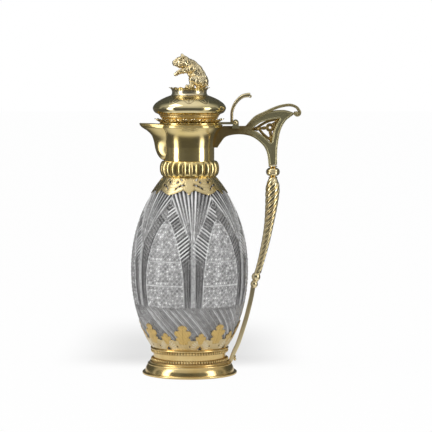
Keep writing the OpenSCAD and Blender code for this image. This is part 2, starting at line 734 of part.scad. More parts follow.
thumb_scale = thumb_h / 28;
thumb_x = hinge_x - knuckle_r;
thumb_line = curve([[thumb_x - 1, flange_top + 0.1], for (p = [[-0.9, 5], [-0.6, 11], [1.6, 17.4],
    [5.4, 22.6], [10.6, 26.4], [16.6, 27.4]]) [thumb_x, hinge_z] + thumb_scale * p], 4);

module thumbpiece() {
    last = len(thumb_line) - 1;
    tip = thumb_line[last];
    color(pale_gilt) difference() {
        union() {
            plate(thumb_w) polygon(band(thumb_line,
                [for (i = [0 : last]) thumb_t * (0.5 + 0.32 * pow(i / last, 2))]));
            plate(1.1 * thumb_w) translate(tip + thumb_t * [0.29, -0.5])
                circle(r = 0.643 * thumb_t, $fn = 32);
        }
        plate(thumb_w + slack) translate([hinge_x, hinge_z]) circle(r = knuckle_r, $fn = 40);
        plate(thumb_w + slack) translate([hinge_x - 8, flange_top - 4.9]) square([16, 5]);
    }
}

// Splayed border of leaves round the lid's waist
module lid_leaf_border() {
    lobe_r = 0.78 * PI * (border_r - 3) / border_count;
    splay = border_r - waist_r;
    color(gilt) intersection() {
        rotate_extrude($fn = round_fn)
            polygon([for (p = [[0, 0], [0.2, 0], [0.5, 0.25], [0.95, 0.8], [1, 0.98], [0.9, 1],
                [0.44, 0.55], [0.14, 0.35], [0, 0.35]])
                [waist_r + p[0] * splay, flange_top + p[1] * border_h]]);
        translate([0, 0, flange_top - slack]) linear_extrude(height = border_h + 2 * slack) {
            circle(r = border_r - lobe_r - 0.6, $fn = round_fn);
            for (i = [0 : border_count - 1]) rotate([0, 0, (i + 0.5) * 360 / border_count])
                translate([border_r - lobe_r, 0]) circle(r = lobe_r, $fn = 24);
        }
    }
}

module lid_waist() {
    line = concat([[waist_r, flange_top], [waist_r, flange_top + 1.9]],
        curve([[waist_r + 0.2, flange_top + 2.2], [waist_r + 1.7, flange_top + 0.55 * waist_h],
            [waist_r + 2.8, flange_top + 0.82 * waist_h], [waist_r + 3.8, bun_z]], 3));
    color(gilt) rotate_extrude($fn = round_fn)
        polygon(concat(line, [[waist_r - sheet, bun_z], [waist_r - sheet, flange_top]]));
}

// Squashed bun of the lid: its outline in shares of its own height and radii
bun_top_r = coronet_r + 1;
function bun_spot(share, r) = [r, bun_z + share * bun_h];
bun_curve = curve([bun_spot(0, waist_r + 4.2), bun_spot(0.1, bun_r - 1.9), bun_spot(0.32, bun_r),
    bun_spot(0.55, bun_r - 2.3), bun_spot(0.74, part_of(bun_r, bun_top_r, 0.38)),
    bun_spot(0.9, part_of(bun_r, bun_top_r, 0.72)), bun_spot(1, bun_top_r)], 3);

module lid_bun() {
    stud_gap = 0.1;
    last = len(bun_curve) - 1;
    inner = [for (i = [0 : last]) bun_curve[i] + (i < 3 ? 1.6 : 1.3) * sheet * normal_at(bun_curve, i)];
    color(gilt) rotate_extrude($fn = round_fn)
        polygon(concat([[waist_r - sheet, bun_z]], bun_curve,
            [[1.5 + stud_gap, bun_top], [1.5 + stud_gap, bun_top - 1.3 * sheet]],
            [[inner[last][0], bun_top - 1.3 * sheet]],
            reversed([for (i = [3 : last - 1]) inner[i]]),
            [[waist_r - sheet, bun_z + 1.2]]));
}

// Coronet: a hollow-sided ring with a row of outward pointing petals
module coronet() {
    h = coronet_h;
    tip_r = coronet_r + 3.7;
    half = PI * coronet_r / coronet_count;
    color(pale_gilt) difference() {
        rotate_extrude($fn = round_fn)
            polygon(concat(curve([[coronet_r + 0.9, bun_top], [coronet_r, bun_top + 0.22 * h],
                [coronet_r, bun_top + 0.52 * h], [coronet_r + 1.3, bun_top + 0.82 * h],
                [tip_r, bun_top + h - 0.2]], 3), [[tip_r - 0.3, bun_top + h],
                [coronet_r + 0.7, bun_top + 0.93 * h], [coronet_r - 1, bun_top + 0.62 * h],
                [coronet_r - 1, bun_top]]));
        for (i = [0 : coronet_count - 1]) radial_cut(i * 360 / coronet_count, tip_r + slack)
            polygon([[0, bun_top + 0.66 * h], [half * 0.95, bun_top + h + 0.6],
                [-half * 0.95, bun_top + h + 0.6]]);
    }
}

module finial_plinth() {
    r = coronet_r - 1.3;
    color(gilt) difference() {
        rotate_extrude($fn = round_fn)
            polygon([[0, bun_top], [r, bun_top], [r, bun_top + 0.58 * coronet_h],
                [r + 0.4, plinth_top - 1.2], [r - 0.2, plinth_top], [0, plinth_top]]);
        translate([0, 0, bun_top - slack]) cylinder(r = 1.6, h = coronet_h + slack, $fn = 32);
    }
}

module ball(x, y, z, r) {
    translate([x, y, z]) sphere(r = r, $fn = 22);
}

// Begging bear that faces the spout, in shares of a 35.3 mm high figure
module finial_bear() {
    color(warm_gilt) translate([0, 0, plinth_top]) scale(bear_h / 35.3) difference() {
        union() {
            hull() { ball(12, 0, 6.2, 7.4); ball(5.2, 0, 17.5, 6.9); }
            hull() { ball(5.2, 0, 17.5, 6.9); ball(3.4, 0, 21.8, 5.2); ball(-3.2, 0, 24, 5.2); }
            hull() { ball(-3.2, 0, 24, 5); ball(-9.2, 0, 27, 5.7); }
            hull() { ball(-9.8, 0, 26.2, 4.6); ball(-15, 0, 25, 2.6); ball(-16.6, 0, 25.4, 1.9); }
            for (s = [-1, 1]) {
                ball(-7.4, 4.1 * s, 32.6, 1.9);
                ball(-7.6, 3.4 * s, 30.8, 2.2);
                hull() { ball(2, 5 * s, 20.6, 3.4); ball(-7.6, 4.4 * s, 17, 2.6); }
                hull() { ball(-7.6, 4.4 * s, 17, 2.6); ball(-15.6, 3.6 * s, 13.2, 1.6); }
                hull() { ball(9.5, 5.6 * s, 5.6, 5.4); ball(2.4, 6.2 * s, 7.4, 3.7); }
                hull() { ball(2.2, 6.2 * s, 6, 3); ball(-0.8, 6 * s, 2, 2.3); ball(-3.4, 6 * s, 1.8, 1.9); }
            }
        }
        translate([-30, -30, -20]) cube([60, 60, 20]);
    }
}

module finial_stud() {
    color(pale_gilt) translate([0, 0, bun_top - 6]) cylinder(r = 1.5, h = plinth_top - bun_top + 6,
        $fn = 32);
}

module finial_nut() {
    color(pale_gilt) translate([0, 0, bun_top - 1.3 * sheet - 2.4]) difference() {
        cylinder(r = 3.6, h = 2.4, $fn = 6);
        translate([0, 0, -slack]) cylinder(r = 1.5, h = 2.4 + 2 * slack, $fn = 32);
    }
}

foot_rim();
foot_dome();
base_drum();
bead_wire_lower();
bead_wire_upper();
base_plate();
base_bedding();
glass_body();
base_leaf_mount();
shoulder_skirt();
gadroon_ring();
neck_cement();
neck_collar();
spout();
neck_rim();
handle_bracket();
handle_tracery();
handle_ribbon();
handle_knop();
handle_grip();
grip_beads();
handle_rod();
rod_scroll();
hinge_lugs();
hinge_pin();
lid_bezel();
lid_lining();
lid_flange();
lid_strap();
thumbpiece();
lid_leaf_border();
lid_waist();
lid_bun();
coronet();
finial_plinth();
finial_bear();
finial_stud();
finial_nut();
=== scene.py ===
import math

import bmesh
import bpy
import numpy as np
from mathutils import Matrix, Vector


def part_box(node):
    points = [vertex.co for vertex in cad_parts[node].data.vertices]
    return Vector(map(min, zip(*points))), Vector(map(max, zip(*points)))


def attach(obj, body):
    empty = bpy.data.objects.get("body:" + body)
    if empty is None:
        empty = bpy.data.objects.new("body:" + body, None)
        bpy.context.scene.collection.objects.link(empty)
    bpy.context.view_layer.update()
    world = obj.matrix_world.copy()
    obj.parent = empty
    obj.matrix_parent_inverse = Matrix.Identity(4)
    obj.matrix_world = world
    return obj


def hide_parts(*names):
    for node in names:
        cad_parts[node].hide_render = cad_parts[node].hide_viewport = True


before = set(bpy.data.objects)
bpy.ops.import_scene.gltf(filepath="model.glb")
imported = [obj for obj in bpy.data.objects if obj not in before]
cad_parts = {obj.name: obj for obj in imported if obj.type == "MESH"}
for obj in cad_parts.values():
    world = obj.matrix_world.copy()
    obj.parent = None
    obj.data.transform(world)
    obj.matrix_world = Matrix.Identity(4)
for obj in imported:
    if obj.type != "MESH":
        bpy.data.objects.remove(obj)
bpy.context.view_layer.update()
MM = 0.001


# ---------------------------------------------------------------- view
# A long lens two metres off, level with the lid and tipped down until the whole jug is in the
# frame. One pixel of the picture is a millimetre at the jug's own axis.
picture = 432
axis_column = 189.5
film = 36
eye_height = 0.300
aim_height = 0.158
eye_back = 2.0
tip = math.atan((eye_height - aim_height) / eye_back)

camera = bpy.data.objects.new("view", bpy.data.cameras.new("view"))
camera.data.sensor_width = film
camera.data.lens = film * eye_back / math.cos(tip) / (picture * MM)
camera.location = ((picture / 2 - axis_column) * MM, -eye_back, eye_height)
camera.rotation_euler = (math.pi / 2 - tip, 0, 0)
bpy.context.scene.collection.objects.link(camera)
bpy.context.scene.camera = camera
bpy.context.scene.view_settings.view_transform = "Standard"


# ---------------------------------------------------------------- studio
# A white sweep for the camera, a tall soft box in front at each side and one overhead. What the
# metal mirrors is a dim room with pale strips at its sides and a pale ceiling in front, and what
# the glass shows is a row of bright and dark bars.
class Field:
    """A socket in a node tree. Arithmetic on it adds Math nodes."""

    def __init__(self, socket):
        self.socket = socket

    def math(self, operation, *operands):
        node = self.socket.id_data.nodes.new("ShaderNodeMath")
        node.operation = operation
        for target, value in zip(node.inputs, operands):
            plug(target, value)
        return Field(node.outputs[0])

    def __add__(self, other):
        return self.math("ADD", self, other)

    def __sub__(self, other):
        return self.math("SUBTRACT", self, other)

    def __rsub__(self, other):
        return self.math("SUBTRACT", other, self)

    def __mul__(self, other):
        return self.math("MULTIPLY", self, other)

    __radd__ = __add__
    __rmul__ = __mul__

    def most(self, other):
        return self.math("MAXIMUM", self, other)

    def ramp(self, low, high):
        """0 below low, 1 above high, and a smooth step between them. If low is above high it runs the
        other way."""
        node = self.socket.id_data.nodes.new("ShaderNodeMapRange")
        node.interpolation_type = "SMOOTHSTEP"
        for target, value in zip(node.inputs, (self, low, high)):
            plug(target, value)
        return Field(node.outputs[0])

    def strip(self, middle, half, soft):
        """1 within half of middle, falling to 0 over soft on both sides."""
        return self.math("ABSOLUTE", self - middle).ramp(half + soft, half)


def plug(target, value):
    if isinstance(value, Field):
        target.id_data.links.new(value.socket, target)
    else:
        target.default_value = value


class Maker:
    """Adds nodes to one tree: a type, its settings, its socket values, and the output that is wanted.
    The tree is emptied first, unless fresh is off because more is added to what it holds."""

    def __init__(self, owner, fresh=True):
        owner.use_nodes = True
        self.tree = owner.node_tree
        if fresh:
            self.tree.nodes.clear()

    def __call__(self, kind, settings=None, inputs=None, output=0):
        node = self.tree.nodes.new("ShaderNode" + kind)
        for key, value in (settings or {}).items():
            setattr(node, key, value)
        for key, value in (inputs or {}).items():
            plug(node.inputs[key], value)
        return Field(node.outputs[output]) if len(node.outputs) else node

    def blend(self, share, a, b):
        """Colour a where share is 0, b where it is 1."""
        return self("Mix", {"data_type": "RGBA"}, {0: share, 6: a, 7: b}, 2)


world = bpy.data.worlds.new("studio")
bpy.context.scene.world = world
make = Maker(world)
sky = make("TexCoord", output="Generated")
sky_x, sky_y, sky_z = (make("SeparateXYZ", None, {0: sky}, i) for i in range(3))
turn = sky_x.math("ARCTAN2", sky_x, 0 - sky_y) * (180 / math.pi)
side = turn.math("ABSOLUTE", turn)
room = 0.085 + 0.06 * side.strip(32, 6, 8) + 0.34 * side.strip(104, 3, 5)
room = room + 0.14 * side.strip(84, 4, 6)
behind = side.ramp(95, 140) * sky_z.ramp(0.96, 0.8)
above = (sky_z.ramp(0.25, 0.62) * 0.5 + sky_z.ramp(0.72, 0.95) * 0.3) * (1 - 0.82 * behind)
mirrored = room.most(above)
bars = turn.math("COSINE", turn * (8 * math.pi / 180))
through = 0.1 + 0.92 * bars.ramp(-0.25, 0.35)
rays = {kind: make("LightPath", output=f"Is {kind} Ray") for kind in ("Camera", "Glossy", "Transmission")}
ambient = 0.8
sky_level = rays["Camera"] + rays["Glossy"] * mirrored + rays["Transmission"] * through
plain = 1 - rays["Camera"].most(rays["Glossy"]).most(rays["Transmission"])
dim = rays["Glossy"] * mirrored.ramp(0.42, 0.12)
shade = make.blend(dim, (1, 1, 1, 1), (0.92, 1.0, 0.98, 1))
shell = make("Background", None, {"Color": shade, "Strength": sky_level + plain * ambient})
make("OutputWorld", None, {"Surface": shell})


def soft_box(name, place, target, width, height, radiance):
    """A rectangular lamp at place that faces target: its power is radiance * pi * its area."""
    lamp = bpy.data.lights.new(name, "AREA")
    lamp.shape = "RECTANGLE"
    lamp.size, lamp.size_y = width, height
    lamp.energy = radiance * math.pi * width * height
    holder = bpy.data.objects.new(name, lamp)
    place, target = np.array(place), np.array(target)
    out = (place - target) / np.linalg.norm(place - target)
    turn_angle, lean = math.atan2(out[0], -out[1]), math.acos(out[2])
    holder.location = place
    holder.rotation_euler = (lean, 0, turn_angle)
    holder.visible_camera = False
    bpy.context.scene.collection.objects.link(holder)


box_away, box_width, jug_middle = 1.5, 0.52, (0, 0, 0.16)
for name, angle, radiance, centre, height in (("left_box", -63, 3.2, 0.62, 1.45),
                                              ("right_box", 60, 3.0, 0.45, 1.1)):
    spot = (box_away * math.sin(math.radians(angle)), -box_away * math.cos(math.radians(angle)), centre)
    soft_box(name, spot, jug_middle, box_width, height, radiance)
soft_box("top_box", (-0.8, -0.3, 1.6), (0, 0, 0), 0.8, 0.6, 2.0)


# ---------------------------------------------------------------- floor
# White paper that runs far out behind the jug. The camera sees it nearly white, with the jug's soft
# shadow in a matt patch behind the foot; the metal mirrors it pale close by, dim farther out, and
# with a bright streak on each side, a painted reflection of the side soft boxes.
floor_mesh = bpy.data.meshes.new("floor")
reach_out = 14.0
floor_mesh.from_pydata([(x, y, 0) for x, y in ((-reach_out, -reach_out), (reach_out, -reach_out),
                        (reach_out, reach_out), (-reach_out, reach_out))], [], [(0, 1, 2, 3)])
floor = bpy.data.objects.new("floor", floor_mesh)
bpy.context.scene.collection.objects.link(floor)
paper = bpy.data.materials.new("white_paper")
make = Maker(paper)
away = make("VectorMath", {"operation": "LENGTH"}, {0: make("TexCoord", output="Object")}, "Value")
mirror_ray = make("LightPath", output="Is Glossy Ray")
seen = make("LightPath", output="Is Camera Ray").most(make("LightPath", output="Is Transmission Ray"))
ground_x, ground_y = (make("SeparateXYZ", None, {0: make("TexCoord", output="Object")}, i) for i in (0, 1))
ground_turn = ground_x.math("ARCTAN2", ground_x, 0 - ground_y) * (180 / math.pi)
# Painted reflection of the side soft boxes: bright streaks on the paper that only the metal's mirror rays
# see.
box_reflection_streaks = ground_turn.math("ABSOLUTE", ground_turn + 1.5).strip(61.5, 5, 8) * away.ramp(0.12, 0.8)
shaded = ground_x.strip(-0.01, 0.04, 0.10) * ground_y.ramp(0.02, 0.12) * ground_y.ramp(0.5, 0.2)
glow = (seen * (0.97 - 0.8 * shaded)).most(mirror_ray * (0.3 + 0.7 * away.ramp(0.1, 0.28)))
matt = make("BsdfDiffuse", None, {"Color": (0.74, 0.74, 0.74, 1)})
near_glow = 0.78 - 0.69 * away.ramp(0.13, 0.36) + 0.07 * away.ramp(7.5, 3.0) * away.ramp(0.6, 3.0)
floor_level = 1 - mirror_ray + mirror_ray * (near_glow + 2.6 * box_reflection_streaks)
white = make("Emission", None, {"Color": (1, 1, 1, 1), "Strength": floor_level})
make("OutputMaterial", None, {"Surface": make("MixShader", None, {0: glow, 1: matt, 2: white})})
floor_mesh.materials.append(paper)


# ---------------------------------------------------------------- foot rim
# A turned ring of silver-gilt under the foot. It takes the jug's weight, so its gilding is worn
# smooth and its edges are round.
def spline(points, steps):
    """Smooth curve through points: each stretch is the Catmull-Rom cubic of the four points about it."""
    p = np.asarray(points, float)
    around = np.vstack([p[:1], p, p[-1:]])
    a, b, c, d = (around[i : len(p) - 1 + i, None] for i in range(4))
    t = np.linspace(0, 1, steps, endpoint=False)[None, :, None]
    line = 0.5 * (2 * b + (c - a) * t + (2 * a - 5 * b + 4 * c - d) * t**2 + (3 * b - a - 3 * c + d) * t**3)
    return np.vstack([line.reshape(-1, p.shape[1]), p[-1:]])


def rounded(points, radius, steps=5):
    """Closed outline with its corners rounded: at each corner a quadratic curve runs from radius before
    it to radius after it, or from 0.45 of a side that is too short for that."""
    p = np.asarray(points, float)
    sides = [np.roll(p, 1, 0) - p, np.roll(p, -1, 0) - p]
    lengths = [np.linalg.norm(s, axis=1, keepdims=True) for s in sides]
    a, c = (p + s / n * np.minimum(radius, 0.45 * n) for s, n in zip(sides, lengths))
    t = np.linspace(0, 1, steps)[None, :, None]
    return ((1 - t) ** 2 * a[:, None] + 2 * t * (1 - t) * p[:, None] + t**2 * c[:, None]).reshape(-1, 2)


def grid_faces(rows, columns, wrap_rows, wrap_columns):
    """Quads between the points of a grid that are numbered along its rows. They face outwards where
    columns run anticlockwise and rows run up."""
    r = np.arange(rows if wrap_rows else rows - 1)[:, None]
    c = np.arange(columns if wrap_columns else columns - 1)[None, :]
    r1, c1 = (r + 1) % rows * columns, (c + 1) % columns
    r = r * columns
    return np.stack([r + c, r + c1, r1 + c1, r1 + c], -1).reshape(-1, 4)


def piece(name, parts, smooth=40, **marks):
    """An object from (points, faces) parts in millimetres. Points that coincide are merged, edges
    sharper than smooth degrees stay crisp, and marks are numbers for each point."""
    points = np.vstack([np.asarray(p, float).reshape(-1, 3) for p, _ in parts])
    starts = np.cumsum([0] + [np.asarray(p).size // 3 for p, _ in parts])
    mesh = bpy.data.meshes.new(name)
    mesh.from_pydata(points * MM, [], [face for (_, f), s in zip(parts, starts) for face in (f + s).tolist()])
    for key, values in marks.items():
        mark = mesh.attributes.new(key, "FLOAT", "POINT")
        mark.data.foreach_set("value", np.asarray(values, np.float32).ravel())
    work = bmesh.new()
    work.from_mesh(mesh)
    bmesh.ops.remove_doubles(work, verts=work.verts, dist=1e-7)
    work.to_mesh(mesh)
    work.free()
    mesh.shade_smooth()
    mesh.set_sharp_from_angle(angle=math.radians(smooth))
    thing = bpy.data.objects.new(name, mesh)
    bpy.context.scene.collection.objects.link(thing)
    return thing


def lathe(outline, columns=144, middle=(0, 0)):
    """A closed outline of (radius, height) turned round an upright axis through middle."""
    outline = np.asarray(outline, float)
    a = 2 * np.pi * np.arange(columns) / columns
    r, z = outline[:, :1], outline[:, 1:]
    points = np.stack([middle[0] + r * np.sin(a), middle[1] - r * np.cos(a), z + 0 * a], -1)
    return points, grid_faces(len(outline), columns, True, True)


def dress(thing, body, slot, material, *nodes):
    """Gives a piece its metal or glass, lets it ride on its body and stand for its CAD nodes."""
    thing.data.materials.append(material)
    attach(thing, body)
    if nodes:
        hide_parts(*nodes)
    return thing


# The dark tone is old polish in hollows; on the bead wires and the bracket it is also painted shade.
thick_gold, old_polish_and_shade = (0.80, 0.55, 0.19, 1), (0.16, 0.10, 0.03, 1)


def gilt(name, colour, deep, roughness, hammer=0.12, tool_marks=0.05):
    """Silver-gilt: polished metal whose gold drifts between a rubbed and a deep tone, with faint dents
    from raising, fine polishing marks, dark old polish where the mark "groove" is high (on the bead
    wires and the bracket partly painted shade), and warmer gold where the mark "gold" is."""
    material = bpy.data.materials.new(name)
    make = Maker(material)
    place = make("TexCoord", output="Object")
    cloud = make("TexNoise", None, {"Vector": place, "Scale": 45, "Detail": 4})
    grain = make("TexNoise", None, {"Vector": place, "Scale": 700, "Detail": 3})
    dents = make("TexNoise", None, {"Vector": place, "Scale": 110, "Detail": 1})
    groove = make("Attribute", {"attribute_name": "groove"}, output="Fac")
    gold = make("Attribute", {"attribute_name": "gold"}, output="Fac")
    tone = make.blend(cloud.ramp(0.35, 0.7), (*colour, 1), (*deep, 1))
    tone = make.blend(gold * 0.85, tone, thick_gold)
    dark = (groove * (0.55 + 0.6 * grain)).ramp(0.1, 0.95)
    tone = make.blend(dark * 0.82, tone, old_polish_and_shade)
    rough = roughness + 0.10 * cloud.ramp(0.5, 0.8) + 0.05 * grain + 0.35 * dark
    height = dents * hammer + grain * tool_marks
    bump = make("Bump", None, {"Strength": 0.35, "Distance": MM, "Height": height}, "Normal")
    metal = make("BsdfPrincipled", None,
                 {"Base Color": tone, "Metallic": 1.0, "Roughness": rough, "Normal": bump})
    make("OutputMaterial", None, {"Surface": metal})
    return material


gilt_warm = gilt("gilt_warm", (0.90, 0.69, 0.33), (0.80, 0.57, 0.23), 0.17)


def low(node):
    """A CAD node's lowest point, in millimetres."""
    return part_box(node)[0].z / MM


def top(node):
    """A CAD node's highest point, in millimetres."""
    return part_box(node)[1].z / MM


def wide(node):
    """A round CAD node's largest radius, in millimetres."""
    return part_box(node)[1].y / MM


foot_r, rim_ring_h, rim_ring_w = wide("foot_rim"), top("foot_rim"), 4.6
rim_outline = [(foot_r - rim_ring_w, 0), (foot_r - 0.5, 0), (foot_r, 0.6), (foot_r, rim_ring_h - 0.7),
               (foot_r - 0.8, rim_ring_h), (foot_r - rim_ring_w, rim_ring_h)]
foot_ring = piece("turned_foot_ring", [lathe(rounded(rim_outline, 0.4))])
dress(foot_ring, "jug", "warm_gilt", gilt_warm, "foot_rim")


# ---------------------------------------------------------------- foot dome
# Raised from sheet and planished smooth. Two wire reeds are soldered round its shoulder, under
# the drum.
def ring(radius, height, wire, sides=14):
    """Outline of a round wire for the lathe."""
    a = 2 * np.pi * np.arange(sides) / sides
    return np.stack([radius + wire * np.cos(a), height + wire * np.sin(a)], -1)


drum_z, drum_top = low("base_drum"), top("base_drum")
dome_h, sheet = drum_z - rim_ring_h, 1.2
dome_r, dome_top_r = wide("foot_dome"), 38.8
dome_line = spline([(dome_r, rim_ring_h), (dome_r - 0.9, rim_ring_h + 0.38 * dome_h),
                    (dome_r + 0.52 * (dome_top_r - dome_r), rim_ring_h + 0.74 * dome_h),
                    (dome_top_r, drum_z)], 8)
dome_inside = dome_line[::-1] - [sheet, 0.6 * sheet]
dome_inside[-1, 1] = rim_ring_h
reed_wire, reed_heights = 0.8, (drum_z - 0.7, drum_z - 2.6)
reeds = [lathe(ring(np.interp(z, dome_line[:, 1], dome_line[:, 0]) - 0.2, z, reed_wire))
         for z in reed_heights]
dome = piece("raised_foot_dome", [lathe(np.vstack([dome_line, dome_inside]))] + reeds)
dress(dome, "jug", "warm_gilt", gilt_warm, "foot_dome")


# ---------------------------------------------------------------- drum and bead wires
# The drum's straight wall has a turned lip that holds the glass. Two wires of upright pearl
# beads are soldered round it.
drum_r, lip = 36.3, wide("base_drum")
glass_base_r = 37.3
drum_outline = [(drum_r - sheet, drum_z), (drum_r, drum_z), (drum_r, drum_top - 1.9),
                (lip - 0.4, drum_top - 1.8), (lip, drum_top - 0.9), (lip - 0.4, drum_top),
                (glass_base_r + 0.1, drum_top), (drum_r - sheet, drum_top - 2.8)]
drum = piece("turned_base_drum", [lathe(rounded(drum_outline, 0.4))])
dress(drum, "jug", "warm_gilt", gilt_warm, "base_drum")


def pearl_wire(height, beads=84, per_bead=12, sides=12):
    """Beads on a ring: the wire's half height and half depth swell as the |sin| of the angle. Old polish
    and painted shade darken the gaps between the beads, and above and below them."""
    a = 2 * np.pi * np.arange(beads * per_bead) / (beads * per_bead)
    bead = np.abs(np.sin(beads / 2 * a))
    swell = 0.42 + 0.58 * bead
    s = 2 * np.pi * np.arange(sides)[:, None] / sides
    r = drum_r + 1.3 + 1.35 * swell * np.cos(s)
    z = height + 1.75 * swell * np.sin(s)
    points = np.stack([r * np.sin(a), -r * np.cos(a), z], -1)
    return points, grid_faces(sides, len(a), True, True), np.maximum(2.2 - 2.6 * bead, 1.3 * np.sin(s) ** 6)


for node in ("bead_wire_lower", "bead_wire_upper"):
    # The gaps between the beads get painted shade, mixed with old polish.
    points, faces, gap_polish_and_shade = pearl_wire((low(node) + top(node)) / 2)
    dress(piece("pearled_" + node, [(points, faces)], groove=gap_polish_and_shade), "jug", "warm_gilt", gilt_warm, node)


# ---------------------------------------------------------------- base plate and plaster
# Hidden work: a plate closes the drum, and plaster beds the glass on it and holds its neck in
# the collar.
plaster = bpy.data.materials.new("plaster")
make = Maker(plaster)
place = make("TexCoord", output="Object")
lumps = make("TexNoise", None, {"Vector": place, "Scale": 260, "Detail": 6})
tone = make.blend(lumps.ramp(0.3, 0.7), (0.80, 0.77, 0.70, 1), (0.62, 0.58, 0.50, 1))
bump = make("Bump", None, {"Strength": 0.5, "Distance": MM, "Height": lumps}, "Normal")
chalk = make("BsdfPrincipled", None, {"Base Color": tone, "Roughness": 0.9, "Normal": bump})
make("OutputMaterial", None, {"Surface": chalk})


def finish_node(material, *nodes):
    """Gives CAD nodes whose shape is right their material."""
    for node in nodes:
        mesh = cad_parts[node].data
        mesh.materials.clear()
        mesh.materials.append(material)


finish_node(plaster, "base_bedding", "neck_cement")
finish_node(gilt_warm, "base_plate")


# ---------------------------------------------------------------- glass body
# Blown lead crystal, cut on the wheel in six panels of starred squares and small diamonds. Each
# panel lies under a pointed arch of ladder cuts, fans of flutes spread between the arches, and
# slanting flutes run round below. The cuts are V grooves, polished bright.
glass_r, belly_z, shoulder_z = 58.67, drum_top + 77, low("gadroon_ring")
upper_reach, upper_a, upper_b = 113.7, 2.11, 0.763
lower_reach, lower_a, lower_b = 104.7, 2.07, 0.608
glass_neck_r, glass_wall = 20, 6


def glass_at(z):
    """Radius of the glass: glass_r * (1 - t^a)^b, with t the share of the reach above or below the belly."""
    z = np.asarray(z, float)
    t = np.where(z > belly_z, (z - belly_z) / upper_reach, (belly_z - z) / lower_reach)
    a, b = np.where(z > belly_z, upper_a, lower_a), np.where(z > belly_z, upper_b, lower_b)
    return glass_r * (1 - np.clip(t, 0, 0.999) ** a) ** b


def step(x, low_end, high_end):
    """0 below low_end, 1 above high_end, and 3s^2 - 2s^3 between."""
    s = np.clip((x - low_end) / (high_end - low_end), 0, 1)
    return s * s * (3 - 2 * s)


def vee(x, half):
    """Depth share of a V groove at distance x from its bottom: 1 there, 0 beyond half."""
    return np.clip(1 - np.abs(x) / half, 0, 1)


def saw(x):
    """Distance from x to the nearest whole number."""
    return np.abs(x - np.round(x))


panels, first_panel = 6, 34.4
arch_foot, arch_top, inner_foot, inner_top = 131, 173, 80, 157
panel_half, inner_half = 180 / panels, 20.5
square, panel_z, flute_count, flute_slope, flute_r = 11.9, 71, 48, 0.85, 52
first_row, rung, pillar, flute_turn = 81.2, 3.2, 2.6, 4.1


def uneven(count):
    """A number between 0 and 1 that jumps about from one whole count to the next."""
    k = np.round(count)
    return 0.5 + 0.5 * np.sin(12.9898 * k + 4.1 * np.sin(78.233 * k))


